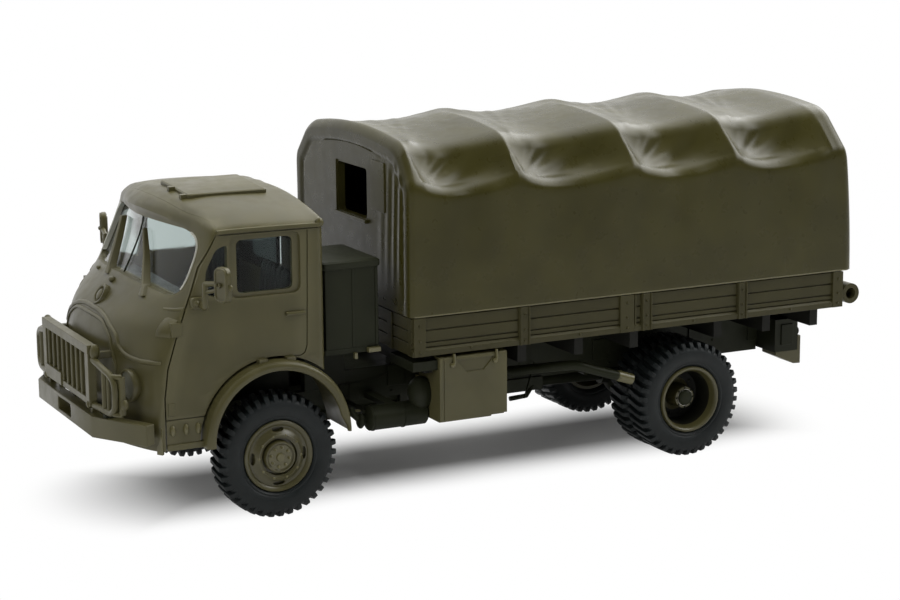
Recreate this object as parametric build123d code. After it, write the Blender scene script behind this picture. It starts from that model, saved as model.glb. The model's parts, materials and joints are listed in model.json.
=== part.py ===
from build123d import *
import math
import os

# A 1:87 plastic model of a two-axle forward-control cargo truck with a covered bed.
# Millimetres. +X is forward, +Y is the truck's left side, +Z is up, and the ground is z = 0.
# Lengthways places are counted from the front axle, and each piece is shifted as it is written,
# so that the origin is the bottom centre of the truck's box.

# Driving dimensions
FRONT_AXLE_X = 23.16
WHEELBASE = 42.5
TYRE_R = 5.59
TYRE_W = 2.9
LUG_COUNT = 38
LUG_DEPTH = 0.5
AXLE_Z = TYRE_R
FRONT_WHEEL_FACE = 12.6
REAR_WHEEL_FACE = 12.5
TWIN_PITCH = 3.3
RIM_R = 3.2
PIN_R = 0.55
PIN_CLEARANCE = 0.05
PIN_HEAD_R = 0.8
PIN_HEAD_W = 0.35

WALL = 0.8
CAB_HALF = 12.2
CAB_REAR = -4.5
CAB_FLOOR_Z = 14.3
ROOF_Z = 28.4
SIDE_TOP_Z = 25.8
ARCH_X = 0.1
ARCH_Z = 7.5
ARCH_R = 6.8
ARCH_GAP = 0.25

BED_FRONT = -12.84
BED_REAR = -59.66
BED_HALF = 12.75
BED_LOW = 13.08
BED_TOP = 16.6
BOARD = 0.85

TARP_FRONT = -12.64
TARP_REAR = -60.45
TARP_HALF = 12.95
TARP_LOW = 16.7
TARP_WALL = 0.8

RAIL_Y = 4.2
RAIL_W = 0.9
RAIL_LOW = 7.6
RAIL_TOP = 9.8
RAIL_TOP_FRONT = 9.0
RAIL_FRONT = 13.4
RAIL_REAR = -55.2


def block(x0, x1, y0, y1, z0, z1):
    """A block between two corners."""
    return Pos((x0 + x1) / 2, (y0 + y1) / 2, (z0 + z1) / 2) * Box(abs(x1 - x0), abs(y1 - y0), abs(z1 - z0))


def rod(start, end, radius):
    """A round bar from one point to another."""
    line = Vector(*end) - Vector(*start)
    plane = Plane(origin=start, z_dir=line)
    return extrude(plane * Circle(radius), amount=line.length)


def across(points, y0, y1):
    """A side outline of (x, z) points, extruded from y0 to y1."""
    face = make_face(Polyline([(x, y0, z) for x, z in points], close=True))
    return extrude(face, amount=y1 - y0, dir=(0, 1, 0))


def upward(points, z0, z1):
    """A plan outline of (x, y) points, extruded from z0 to z1."""
    face = make_face(Polyline([(x, y, z0) for x, y in points], close=True))
    return extrude(face, amount=z1 - z0, dir=(0, 0, 1))


def ring(x, z, outer, inner, y0, y1):
    """A ring about an axis along Y."""
    tube = Cylinder(outer, y1 - y0) - Cylinder(inner, y1 - y0 + 1)
    return Pos(x, (y0 + y1) / 2, z) * Rot(90, 0, 0) * tube


def disc(x, z, radius, y0, y1):
    """A round disc about an axis along Y."""
    return Pos(x, (y0 + y1) / 2, z) * Rot(90, 0, 0) * Cylinder(radius, y1 - y0)


def turned(points, x, z):
    """(radius, y) points turned about an axis along Y through (x, z)."""
    face = make_face(Polyline([(r, y, 0) for r, y in points], close=True))
    return Pos(x, 0, z) * revolve(face, Axis.Y)


def mirrored(shape):
    """The same piece on the truck's right side."""
    return mirror(shape, Plane.XZ)


def pair(shape):
    """A left piece and its right twin, as two solids that don't touch."""
    return Compound([*shape.solids(), *mirrored(shape).solids()])


def write(name, shape):
    """Shifts a piece to the truck's own origin and writes it."""
    export_step(Pos(FRONT_AXLE_X, 0, 0) * shape, f"parts/{name}.step")


os.makedirs("parts", exist_ok=True)

# Wheels and axles


def around(radius, angle, x):
    """The (x, z) point of a wheel at a radius and an angle."""
    return (x + radius * math.cos(angle), AXLE_Z + radius * math.sin(angle))


def flat_ring(radius, x, y):
    """A many-sided outline about a wheel's axis, with one side for each tread lug, flat sides at the radius."""
    corner = radius / math.cos(math.pi / LUG_COUNT)
    points = [around(corner, 2 * math.pi * i / LUG_COUNT, x) for i in range(LUG_COUNT)]
    return make_face(Polyline([(px, y, pz) for px, pz in points], close=True))


def tyre(face, x):
    """A tyre with a ring of lugs across its tread, flat sides and a slope down to the bead on each side."""
    low = face - TYRE_W
    root = TYRE_R - LUG_DEPTH
    bead, bead_edge, bead_depth = RIM_R, RIM_R + 0.6, 0.5
    # One lug, as (share of its pitch from its middle, radius), the first one flat on the ground
    lug = ((-0.28, root), (-0.23, TYRE_R), (0.23, TYRE_R), (0.28, root))
    pitch = 2 * math.pi / LUG_COUNT
    down = -math.pi / 2
    outline = [around(radius, down + pitch * (i + share), x) for i in range(LUG_COUNT) for share, radius in lug]
    body = across(outline, low, face)
    body -= extrude(flat_ring(bead, x, low - 1), amount=TYRE_W + 2, dir=(0, 1, 0))
    for edge, inward in ((face, -bead_depth), (low, bead_depth)):
        body -= loft([flat_ring(bead_edge, x, edge), flat_ring(bead, x, edge + inward)], ruled=True)
    return body


BORE_R = PIN_R + PIN_CLEARANCE


def front_rim(face, x):
    """A convex disc on a barrel, with a raised centre and four slots near the rim."""
    low = face - TYRE_W + 0.5
    wheel = turned(
        [
            (BORE_R, low + 0.2), (1.6, low + 0.2), (1.6, face - 1.3), (2.75, face - 0.95), (2.75, low),
            (RIM_R, low), (RIM_R, face - 0.5), (RIM_R - 0.06, face - 0.3), (2.7, face - 0.45),
            (1.9, face - 0.05), (1.45, face), (1.45, face + 0.2), (1.05, face + 0.25),
            (1.05, face - 0.35), (BORE_R, face - 0.35),
        ],
        x, AXLE_Z,
    )
    for turn in range(4):
        angle = math.radians(90 * turn)
        slot = extrude(
            Plane(
                origin=(x + 2.3 * math.cos(angle), face - 1.6, AXLE_Z + 2.3 * math.sin(angle)),
                z_dir=(0, 1, 0), x_dir=(-math.sin(angle), 0, math.cos(angle)),
            )
            * SlotOverall(1.3, 0.5),
            amount=2,
        )
        wheel -= slot
    return wheel


def rear_rim(face, x):
    """Two barrels in one piece, with a deep bowl outside and a hub ring in the bowl."""
    low = face - TWIN_PITCH - TYRE_W + 0.5
    bowl = face - 2.1
    return turned(
        [
            (BORE_R, low + 1.2), (1.7, low + 1.2), (1.7, low + 1.6), (2.5, low + 1.6), (2.85, low),
            (RIM_R, low), (RIM_R, face - 0.4), (3.1, face - 0.3), (2.75, face - 0.35), (2.35, bowl),
            (1.55, bowl), (1.55, face - 1.2), (1.15, face - 1.0), (1.15, face - 1.45),
            (BORE_R, face - 1.45),
        ],
        x, AXLE_Z,
    )


FRONT_HUB_FACE = FRONT_WHEEL_FACE - 0.35
REAR_HUB_FACE = REAR_WHEEL_FACE - 1.45
write("wheel_front_left_tyre", tyre(FRONT_WHEEL_FACE, 0))
write("wheel_front_left_rim", front_rim(FRONT_WHEEL_FACE, 0))
write("wheel_front_right_tyre", mirrored(tyre(FRONT_WHEEL_FACE, 0)))
write("wheel_front_right_rim", mirrored(front_rim(FRONT_WHEEL_FACE, 0)))
twin_tyres = Compound(
    [
        *tyre(REAR_WHEEL_FACE, -WHEELBASE).solids(),
        *tyre(REAR_WHEEL_FACE - TWIN_PITCH, -WHEELBASE).solids(),
    ]
)
write("wheel_rear_left_tyres", twin_tyres)
write("wheel_rear_left_rim", rear_rim(REAR_WHEEL_FACE, -WHEELBASE))
write("wheel_rear_right_tyres", mirrored(twin_tyres))
write("wheel_rear_right_rim", mirrored(rear_rim(REAR_WHEEL_FACE, -WHEELBASE)))


def axle_pin(x, hub_face):
    """A steel pin through both wheels of an axle, with a head outside each hub."""
    end = hub_face + 0.05
    shaft = disc(x, AXLE_Z, PIN_R, -end, end)
    head = disc(x, AXLE_Z, PIN_HEAD_R, end, end + PIN_HEAD_W)
    return shaft + head + mirrored(head)


write("front_axle_pin", axle_pin(0, FRONT_HUB_FACE))
write("rear_axle_pin", axle_pin(-WHEELBASE, REAR_HUB_FACE))


def axle_housing(x, end, drum, bulge_y, bulge_r):
    """A tube between the wheels with a differential bulge and brake drums."""
    tube = disc(x, AXLE_Z, 1.05, -end, end)
    drums = disc(x, AXLE_Z, drum, end - 1.1, end) + disc(x, AXLE_Z, drum, -end, 1.1 - end)
    ball = Pos(x, bulge_y, AXLE_Z) * Sphere(bulge_r)
    nose = rod((x, bulge_y, AXLE_Z), (x + math.copysign(2.9, -x - 1), bulge_y, AXLE_Z + 0.2), 0.9)
    bore = disc(x, AXLE_Z, PIN_R, -end - 1, end + 1)
    return tube + drums + ball + nose - bore


FRONT_HOUSING_END = FRONT_WHEEL_FACE - TYRE_W + 0.55
REAR_HOUSING_END = REAR_WHEEL_FACE - TWIN_PITCH - TYRE_W + 1.55
DIFF_Y = 1.6
front_housing = axle_housing(0, FRONT_HOUSING_END, 2.2, DIFF_Y, 2.1)
rear_housing = axle_housing(-WHEELBASE, REAR_HOUSING_END, 1.5, 0.0, 2.3)
write("front_axle_housing", front_housing)
write("rear_axle_housing", rear_housing)

# Springs and drive line


def leaf_spring(x, half, y, top):
    """A pack of three leaves that rests on the axle tube, with hangers up to the rail."""
    low = AXLE_Z + 0.9
    leaves = (
        block(x - half, x + half, y - 0.55, y + 0.55, low + 0.5, low + 0.85)
        + block(x - half * 0.72, x + half * 0.72, y - 0.55, y + 0.55, low + 0.2, low + 0.5)
        + block(x - half * 0.42, x + half * 0.42, y - 0.55, y + 0.55, low - 0.1, low + 0.2)
    )
    for end in (-half, half - 0.7):
        leaves += block(x + end, x + end + 0.7, y - 0.4, y + 0.4, low + 0.5, top)
    return leaves - disc(x, AXLE_Z, 1.05, y - 1, y + 1)


springs = [leaf_spring(0, 5.6, RAIL_Y, RAIL_LOW), leaf_spring(-WHEELBASE, 7.2, RAIL_Y, RAIL_LOW)]
write("leaf_springs", Compound([solid for spring in springs for solid in pair(spring).solids()]))

TRANSFER_X = -19.0
ENGINE_LOW = 8.0
GEARBOX_LOW = 6.8
engine = block(-5.0, 8.0, -2.9, 2.9, ENGINE_LOW, 11.6) + block(-7.6, -4.0, -1.8, 1.8, GEARBOX_LOW, RAIL_TOP_FRONT - 0.1)
engine += rod((-7.6, 0, 7.3), (TRANSFER_X + 2.6, 0, 7.3), 0.45)
write("engine_underside", engine)
write(
    "transfer_case",
    block(TRANSFER_X - 2.6, TRANSFER_X + 2.6, -2.6, 2.6, 5.2, 9.4)
    + rod((TRANSFER_X, -2.6, 6.6), (TRANSFER_X, -3.1, 6.6), 1.4),
)
front_shaft = rod((TRANSFER_X + 2.6, DIFF_Y, 6.0), (-2.95, DIFF_Y, AXLE_Z + 0.2), 0.5)
rear_shaft = rod((TRANSFER_X - 2.6, 0, 6.2), (-WHEELBASE + 2.95, 0, AXLE_Z + 0.2), 0.55)
front_shaft -= front_housing
rear_shaft -= rear_housing
write("propshafts", Compound([front_shaft.solid(), rear_shaft.solid()]))

# Ladder frame

RAIL_SIDE = [
    (RAIL_FRONT, RAIL_LOW), (RAIL_REAR, RAIL_LOW), (RAIL_REAR, RAIL_TOP), (-14.0, RAIL_TOP),
    (-10.0, RAIL_TOP_FRONT), (RAIL_FRONT, RAIL_TOP_FRONT),
]
RAIL_IN = RAIL_Y - RAIL_W / 2
RAIL_OUT = RAIL_Y + RAIL_W / 2
rail = across(RAIL_SIDE, RAIL_IN, RAIL_OUT)
rail -= block(RAIL_REAR - 1, -15.0, RAIL_IN - 1, RAIL_OUT - 0.35, RAIL_LOW + 0.4, RAIL_TOP - 0.4)
write("frame_rail_left", rail)
write("frame_rail_right", mirrored(rail))

CROSS_LOW = 7.9
# Cross members, as (centre x, half length)
CROSS_MEMBERS = ((11.9, 0.5), (-11.6, 0.5), (-27.0, 0.5), (-37.0, 0.5), (-48.0, 0.5))
RUNNER_TOP = 11.2
# The last cross member closes the frame and is wider than the rails
REAR_MEMBER_HALF = 8.0
REAR_MEMBER_REAR = -57.9
rear_member = block(REAR_MEMBER_REAR, RAIL_REAR, -REAR_MEMBER_HALF, REAR_MEMBER_HALF, CROSS_LOW, RUNNER_TOP)
members = [block(x - half, x + half, -RAIL_IN, RAIL_IN, CROSS_LOW, RAIL_TOP_FRONT) for x, half in CROSS_MEMBERS]
write("cross_members", Compound([member.solid() for member in [*members, rear_member]]))

# Bed sub-frame: two runners on the rails, and bearers across them
runner = block(RAIL_REAR, -14.4, RAIL_IN, RAIL_OUT, RAIL_TOP, RUNNER_TOP)
write("bed_runners", pair(runner))
# Bearers, as the x of each centre
BEARERS = (-15.0, -24.6, -30.6, -36.6, -46.0, -51.6, -57.2)
BEARER_HALF = 11.6
bearers = [block(x - 0.45, x + 0.45, -BEARER_HALF, BEARER_HALF, RUNNER_TOP, BED_LOW).solid() for x in BEARERS]
write("bed_bearers", Compound(bearers))

# Cargo bed

INNER = BED_HALF - BOARD
write("bed_floor", block(BED_REAR + BOARD, BED_FRONT - BOARD, -INNER, INNER, BED_LOW, BED_LOW + 0.7))
PLANK_JOINTS = (14.3, 15.4)
# Posts, as the x of each centre
POSTS = (-13.6, -24.2, -35.1, -37.15, -47.9, -59.1)
POST_W = 1.1
POST_PROUD = 0.22
side = block(BED_REAR, BED_FRONT, INNER, BED_HALF, BED_LOW, BED_TOP)
for z in PLANK_JOINTS:
    side -= block(BED_REAR - 1, BED_FRONT + 1, BED_HALF - 0.15, BED_HALF + 1, z - 0.08, z + 0.08)
side += block(BED_REAR, BED_FRONT, BED_HALF, BED_HALF + 0.12, BED_LOW, BED_LOW + 0.65)
for x in POSTS:
    side += block(x - POST_W / 2, x + POST_W / 2, BED_HALF - 0.2, BED_HALF + POST_PROUD, BED_LOW, BED_TOP)
write("bed_side_left", side)
write("bed_side_right", mirrored(side))


def end_board(x_out, x_in):
    """A board across the bed between its sides, with the plank joints on its outer face."""
    board = block(x_out, x_in, -INNER, INNER, BED_LOW, BED_TOP)
    outward = math.copysign(1, x_out - x_in)
    for z in PLANK_JOINTS:
        board -= block(x_out - 0.15 * outward, x_out + outward, -INNER - 1, INNER + 1, z - 0.08, z + 0.08)
    return board


write("bed_front_board", end_board(BED_FRONT, BED_FRONT - BOARD))
write("tailgate", end_board(BED_REAR, BED_REAR + BOARD))

# Cover: a hollow moulded shell with five bows and a sag between each two

TARP_SHOULDER = 28.4
TARP_CORNER_Y = 10.1
TARP_CORNER_R = 0.9
# Sections, as (x, corner z, crown z)
TARP_SECTIONS = (
    (TARP_FRONT, 31.9, 32.75), (-13.5, 32.35, 33.15), (-18.6, 31.75, 32.55), (-23.7, 32.3, 33.15),
    (-29.8, 31.85, 32.65), (-36.0, 32.4, 33.2), (-41.7, 31.9, 32.7), (-47.4, 32.45, 33.25),
    (-53.0, 32.0, 32.85), (-58.6, 32.5, 33.3), (TARP_REAR, 32.4, 33.2),
)
# The rear wall leans forward, as (distance ahead of TARP_REAR, z)
TARP_REAR_LEAN = ((0.0, 10.0), (0.0, 20.0), (0.5, 27.0), (1.4, 32.4), (1.8, 36.0))


def tarp_section(x, corner, crown, inset, low):
    """One cross-section of the cover, drawn in by inset."""
    half = TARP_HALF - inset
    corner_y = TARP_CORNER_Y - 0.6 * inset
    corner -= inset
    crown -= inset
    outline = [
        Line((x, -half, low), (x, half, low)),
        Line((x, half, low), (x, half, TARP_SHOULDER)),
        Line((x, half, TARP_SHOULDER), (x, corner_y, corner)),
        ThreePointArc((x, corner_y, corner), (x, 0, crown), (x, -corner_y, corner)),
        Line((x, -corner_y, corner), (x, -half, TARP_SHOULDER)),
        Line((x, -half, TARP_SHOULDER), (x, -half, low)),
    ]
    return make_face(outline)


def tarp_body(inset, low):
    """The cover's outline as a solid, drawn in by inset: the bows' loft, the rear wall's lean, rounded corners."""
    rows = [list(row) for row in TARP_SECTIONS]
    rows[0][0] -= inset
    rows[-1][0] += inset
    bows = loft([tarp_section(x, corner, crown, inset, low) for x, corner, crown in rows], ruled=True)
    rear = [(TARP_REAR + inset + ahead, z) for ahead, z in TARP_REAR_LEAN]
    lean = across([*rear, (0, rear[-1][1]), (0, rear[0][1])], -20, 20)
    half = TARP_HALF - inset
    corners = block(TARP_REAR + inset, TARP_FRONT - inset, -half, half, low - 1, 40)
    corners = fillet(corners.edges().filter_by(Axis.Z), TARP_CORNER_R - inset)
    return bows & lean & corners


tarp = tarp_body(0, TARP_LOW) - tarp_body(TARP_WALL, TARP_LOW - 1)
TARP_WINDOW = block(TARP_FRONT - 2, TARP_FRONT + 1, -2.6, 3.73, 24.24, 29.02)
tarp -= fillet(TARP_WINDOW.edges().filter_by(Axis.X), 0.5)
write("cargo_cover", tarp)

# Cab: a hollow shell of walls as thick as the moulding, split at the front mask's seam

# Plan outlines, as (z, x at the side, x at y = CORNER_Y, x at the middle)
CORNER_Y = 10.9
CAB_SECTIONS = (
    (7.3, 10.3, 11.4, 13.7), (10.0, 10.6, 11.6, 13.9), (14.4, 9.8, 11.3, 13.8), (17.5, 8.8, 10.2, 12.8),
    (19.6, 8.0, 8.8, 10.9), (21.0, 7.5, 7.9, 9.8), (25.6, 5.3, 6.0, 7.9), (26.8, 4.8, 6.0, 8.2), (27.5, 4.4, 5.5, 7.8),
    (28.5, 3.4, 4.1, 6.2),
)


def cab_section(z, side_x, corner_x, middle_x, inset):
    """One plan outline of the cab, drawn in by inset."""
    half = CAB_HALF - inset
    corner_y = CORNER_Y - inset
    rear = CAB_REAR + inset
    side_x -= inset
    corner_x -= inset
    middle_x -= inset
    bulge_x = corner_x + 0.62 * (side_x - corner_x) + 0.12
    bulge_y = (half + corner_y) / 2 + 0.3
    outline = [
        Line((rear, half, z), (rear, -half, z)),
        Line((rear, -half, z), (side_x, -half, z)),
        ThreePointArc((side_x, -half, z), (bulge_x, -bulge_y, z), (corner_x, -corner_y, z)),
        ThreePointArc((corner_x, -corner_y, z), (middle_x, 0, z), (corner_x, corner_y, z)),
        ThreePointArc((corner_x, corner_y, z), (bulge_x, bulge_y, z), (side_x, half, z)),
        Line((side_x, half, z), (rear, half, z)),
    ]
    return make_face(outline)


def cab_body(inset, drop):
    """The cab's outer form drawn in by inset: plan loft, roof crown and roof ends."""
    rows = [list(row) for row in CAB_SECTIONS]
    rows[0][0] -= drop
    plan = loft([cab_section(*row, inset) for row in rows], ruled=True)
    half = CAB_HALF - inset + 0.001
    top = ROOF_Z - inset
    low = rows[0][0] - 1
    crown = make_face(
        [
            Line((-10, -half, low), (-10, half, low)),
            Line((-10, half, low), (-10, half, SIDE_TOP_Z)),
            ThreePointArc((-10, half, SIDE_TOP_Z), (-10, half - 1.6, top - 1.53), (-10, half - 3.4, top - 0.9)),
            ThreePointArc((-10, half - 3.4, top - 0.9), (-10, 0, top), (-10, 3.4 - half, top - 0.9)),
            ThreePointArc((-10, 3.4 - half, top - 0.9), (-10, 1.6 - half, top - 1.53), (-10, -half, SIDE_TOP_Z)),
            Line((-10, -half, SIDE_TOP_Z), (-10, -half, low)),
        ]
    )
    crown = extrude(crown, amount=30, dir=(1, 0, 0))
    rear = CAB_REAR + inset - 0.001
    profile = make_face(
        [
            Line((rear, -20, low), (20, -20, low)),
            Line((20, -20, low), (20, -20, top - 1.3)),
            Line((20, -20, top - 1.3), (8.9 - inset, -20, top - 0.9)),
            ThreePointArc((8.9 - inset, -20, top - 0.9), (2.9, -20, top), (-2.2, -20, top - 0.4)),
            ThreePointArc((-2.2, -20, top - 0.4), (rear + 0.6, -20, top - 1.0), (rear, -20, top - 1.8)),
            Line((rear, -20, top - 1.8), (rear, -20, low)),
        ]
    )
    profile = extrude(profile, amount=40, dir=(0, 1, 0))
    return plan & crown & profile


shell = cab_body(0, 0) - cab_body(WALL, 1)

# The cab's sides end at the wheel arch, and behind it at the door sill
SILL_Z = 12.8
shell -= block(CAB_REAR - 1, ARCH_X, -15, 15, 0, SILL_Z)
shell -= disc(ARCH_X, ARCH_Z, ARCH_R + ARCH_GAP, -15, 15)
shell -= block(CAB_REAR - 1, 20, -RAIL_OUT - 0.1, RAIL_OUT + 0.1, 7, 9.2)

# Side windows
DOOR_WINDOW = ((-1.87, 20.3), (3.2, 20.3), (3.2, 25.1), (-1.87, 25.1))
DOOR_RECESS = ((-2.5, 19.9), (3.9, 19.9), (3.9, 25.5), (-2.5, 25.5))
QUARTER_WINDOW = ((4.1, 20.3), (6.3, 20.3), (4.7, 24.9), (4.1, 24.9))
for window in (DOOR_WINDOW, QUARTER_WINDOW):
    shell -= across(window, -15, 15)
for sign in (1, -1):
    shell -= across(DOOR_RECESS, sign * (CAB_HALF - 0.25), sign * 15)
shell -= block(CAB_REAR - 1, CAB_REAR + 1.5, -4.2, 4.2, 20.6, 24.6)

# Windscreen: two flat panes that meet on the middle line
PANE_IN_Y = 0.35
PANE_OUT_Y = 9.2
PANE_CORNERS = ((9.5, PANE_IN_Y, 21.0), (7.7, PANE_OUT_Y, 20.2), (5.7, PANE_OUT_Y, 25.3), (7.6, PANE_IN_Y, 25.4))


def pane_prism(back, front, grow):
    """A prism through one windscreen opening, from back behind the glass to front ahead of it."""
    corners = [Vector(*corner) for corner in PANE_CORNERS]
    centre = (corners[0] + corners[1] + corners[2] + corners[3]) / 4
    normal = (corners[1] - corners[3]).cross(corners[2] - corners[0]).normalized()
    if normal.X < 0:
        normal = -normal
    plane = Plane(origin=centre, z_dir=normal)
    flat = [plane.to_local_coords(corner) for corner in corners]
    sketch = make_face(Polyline([(p.X, p.Y, 0) for p in flat], close=True))
    if grow:
        sketch = offset(sketch, grow)
    return Plane(origin=centre - normal * back, z_dir=normal, x_dir=plane.x_dir) * extrude(sketch, amount=back + front)


opening = pane_prism(2.5, 2.5, 0)
shell -= opening + mirrored(opening)

# The front mask's seam, as (x, z) down the cab's side
SEAM = ((4.6, 30.0), (5.07, 25.83), (6.7, 22.96), (8.06, 19.64), (9.05, 16.96), (9.85, 14.44), (10.2, 11.88), (10.2, 5.0))
mask_side = across([*SEAM, (20.0, 5.0), (20.0, 30.0)], -20, 20)
front_mask = shell & mask_side
cab_shell = shell - mask_side
write("cab_shell", cab_shell)
write("cab_front", front_mask)

# Glazing sits on the inner face of each opening
GLASS = 0.4
GLASS_LAP = 0.45
inner_side = CAB_HALF - WALL


def side_glass(x0, x1, z0, z1):
    """A flat side pane behind its opening."""
    return block(x0 - GLASS_LAP, x1 + GLASS_LAP, inner_side - GLASS, inner_side, z0 - GLASS_LAP, z1 + GLASS_LAP)


door_glass = side_glass(-1.87, 3.2, 20.3, 25.1)
quarter_glass = across([(3.75, 19.9), (6.2, 19.9), (4.6, 25.2), (3.75, 25.2)], inner_side - GLASS, inner_side)
rear_glass = block(CAB_REAR + WALL, CAB_REAR + WALL + GLASS, -4.6, 4.6, 20.2, 25.0)
write("side_windows", Compound([*pair(door_glass).solids(), *pair(quarter_glass).solids()]))
write("rear_window", rear_glass)
screen = pane_prism(GLASS / 2, GLASS / 2, -0.05)
write("windscreen", pair(screen))

# Cab interior
write("cab_floor", block(CAB_REAR + WALL, 8.2, -inner_side, inner_side, CAB_FLOOR_Z, CAB_FLOOR_Z + 0.7))
seat = block(-2.4, 1.6, 3.6, 9.6, CAB_FLOOR_Z + 0.7, CAB_FLOOR_Z + 3.2)
seat += block(-3.1, -2.0, 3.6, 9.6, CAB_FLOOR_Z + 0.7, 21.6)
write("seats", pair(seat))
dashboard = block(5.0, 7.2, -10.6, 10.6, 17.2, 19.4) + block(6.0, 7.2, -2.0, 2.0, CAB_FLOOR_Z + 0.7, 17.2)
write("dashboard", dashboard)
wheel_plane = Plane(origin=(3.9, 6.2, 20.0), z_dir=(-0.55, 0, 0.83))
column = rod((3.9, 6.2, 20.0), (5.4, 6.2, 17.8), 0.25)
write("steering_wheel", wheel_plane * Torus(1.9, 0.2) + wheel_plane * Box(3.8, 0.4, 0.25) + column - dashboard)

# Roof hatch plate, and its two hinges at the front edge
HATCH_T = 0.4
hatch = (Pos(0, 0, HATCH_T) * cab_body(0, 0) - cab_body(0, 0)) & block(-1.6, 5.6, -1.4, 6.2, 25, 31)
write("roof_hatch", hatch.solids().sort_by(SortBy.VOLUME)[-1])


def fender():
    """An arched strip over a front wheel, with a lip round its outer edge."""
    y_in, y_lip, y_out = 8.0, 13.1, 13.4
    top = block(-3.5, 3.7, y_in, y_in + 0.6, ARCH_Z + ARCH_R - 1.4, CAB_FLOOR_Z)
    top -= disc(ARCH_X, ARCH_Z, ARCH_R - 0.45, 5, 20)
    strip = ring(ARCH_X, ARCH_Z, ARCH_R, ARCH_R - 0.45, y_in, y_out)
    strip += ring(ARCH_X, ARCH_Z, ARCH_R, ARCH_R - 0.9, y_lip, y_out)
    return strip + top - block(-10, 10, 5, 20, -5, ARCH_Z + 0.1)


write("front_fenders", pair(fender()))

# Bumper with swept wings and a towing slot
BUMPER_X = 15.44
BUMPER_LOW = 8.2
BUMPER_TOP = 10.05
bumper_half = (
    (BUMPER_X, 7.97), (11.87, 13.84), (11.0, 13.3), (14.3, 7.4),
)
outline = [*bumper_half, *[(x, -y) for x, y in reversed(bumper_half)]]
bumper = upward(outline, BUMPER_LOW, BUMPER_TOP) - block(13, 17, -1.85, 1.85, BUMPER_LOW + 0.35, BUMPER_TOP - 0.35)
for sign in (1, -1):
    bumper += block(RAIL_FRONT, 14.4, sign * RAIL_IN, sign * RAIL_OUT, BUMPER_LOW, RAIL_TOP_FRONT)
write("bumper", bumper)

# Brush guard: bars in a frame on the bumper, and a lamp guard on each side
GUARD_X = 15.0
GUARD_HALF = 6.76
GUARD_LOW = 10.7
GUARD_TOP = 16.04
GUARD_BARS = 9
GUARD_BAR_PITCH = 1.38
guard = block(GUARD_X - 0.55, GUARD_X + 0.2, -GUARD_HALF, GUARD_HALF, GUARD_TOP - 0.75, GUARD_TOP)
guard += block(GUARD_X - 0.45, GUARD_X + 0.1, -GUARD_HALF, GUARD_HALF, GUARD_LOW, GUARD_LOW + 0.55)
for sign in (1, -1):
    y = sign * (GUARD_HALF - 0.45)
    guard += block(GUARD_X - 0.55, GUARD_X + 0.2, y - 0.45, y + 0.45, BUMPER_TOP, GUARD_TOP)
    guard += block(14.0, GUARD_X - 0.5, y - 0.35, y + 0.35, 12.6, 13.3)
for i in range(GUARD_BARS):
    y = GUARD_BAR_PITCH * (i - (GUARD_BARS - 1) / 2)
    guard += block(GUARD_X - 0.4, GUARD_X + 0.1, y - 0.2, y + 0.2, GUARD_LOW, GUARD_TOP)
write("brush_guard", guard)

LAMP_GUARD_LOW = 10.5
LAMP_GUARD_TOP = 14.3


def lamp_guard():
    """A rounded frame with one upright, swept back from the brush guard to the cab."""
    plan = [(14.95, GUARD_HALF), (14.2, 11.1), (13.7, 11.5), (11.2, 11.5), (11.2, 11.0), (13.5, 11.0), (13.75, 10.8), (14.45, GUARD_HALF)]
    solid = upward(plan, LAMP_GUARD_LOW, LAMP_GUARD_TOP)
    hole = block(10, 13.1, 10, 13, LAMP_GUARD_LOW + 0.5, LAMP_GUARD_TOP - 0.5)
    front = block(13.0, 16, GUARD_HALF + 0.2, 8.9, LAMP_GUARD_LOW + 0.5, LAMP_GUARD_TOP - 0.5)
    front += block(13.0, 16, 9.4, 10.9, LAMP_GUARD_LOW + 0.5, LAMP_GUARD_TOP - 0.5)
    return solid - hole - front


write("lamp_guards", pair(lamp_guard() - cab_body(0, 0)))

LAMP_Y = 9.3
LAMP_Z = 12.9
LAMP_R = 1.35
lamp = rod((11.4, LAMP_Y, LAMP_Z), (13.1, LAMP_Y, LAMP_Z), LAMP_R) - cab_body(0, 0)
write("headlamps", pair(lamp))

# Grille and the plain disc above it
grille_face = make_face(
    [
        Line((15, -5.2, 10.4), (15, 5.2, 10.4)),
        Line((15, 5.2, 10.4), (15, 5.2, 13.0)),
        ThreePointArc((15, 5.2, 13.0), (15, 0, 17.3), (15, -5.2, 13.0)),
        Line((15, -5.2, 13.0), (15, -5.2, 10.4)),
    ]
)
grille_prism = extrude(grille_face, amount=-5, dir=(1, 0, 0))
grille_skin = Pos(0.35, 0, 0) * cab_body(0, 0) - cab_body(0, 0)
grille = grille_skin & grille_prism
write("grille", grille.solids().sort_by(SortBy.VOLUME)[-1])
badge = rod((10.2, 0, 18.3), (11.85, 0, 19.3), 0.85) - cab_body(0, 0)
write("badge_disc", badge.solids().sort_by(SortBy.VOLUME)[-1])


def marker_lamp():
    """A small lamp housing on the cab's front corner."""
    return block(9.0, 11.0, 10.6, 12.5, 17.0, 18.5) - cab_body(0, 0)


write("marker_lamps", pair(marker_lamp().solids().sort_by(SortBy.VOLUME)[-1]))


def mirror_arm():
    """An arm from the cab's front corner, with a rounded mirror head."""
    arm = rod((7.2, CAB_HALF - 0.2, 19.9), (6.9, 13.6, 19.9), 0.22) + rod((6.9, 13.5, 19.7), (6.9, 13.5, 22.2), 0.22)
    arm += rod((6.9, 13.5, 22.0), (6.1, 15.7, 22.16), 0.2)
    head = Pos(6.06, 16.14, 22.16) * Box(0.5, 1.6, 3.1)
    head = fillet(head.edges().filter_by(Axis.X), 0.7)
    return arm + head - cab_body(0, 0)


write("mirrors", pair(mirror_arm().solids().sort_by(SortBy.VOLUME)[-1]))

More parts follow.
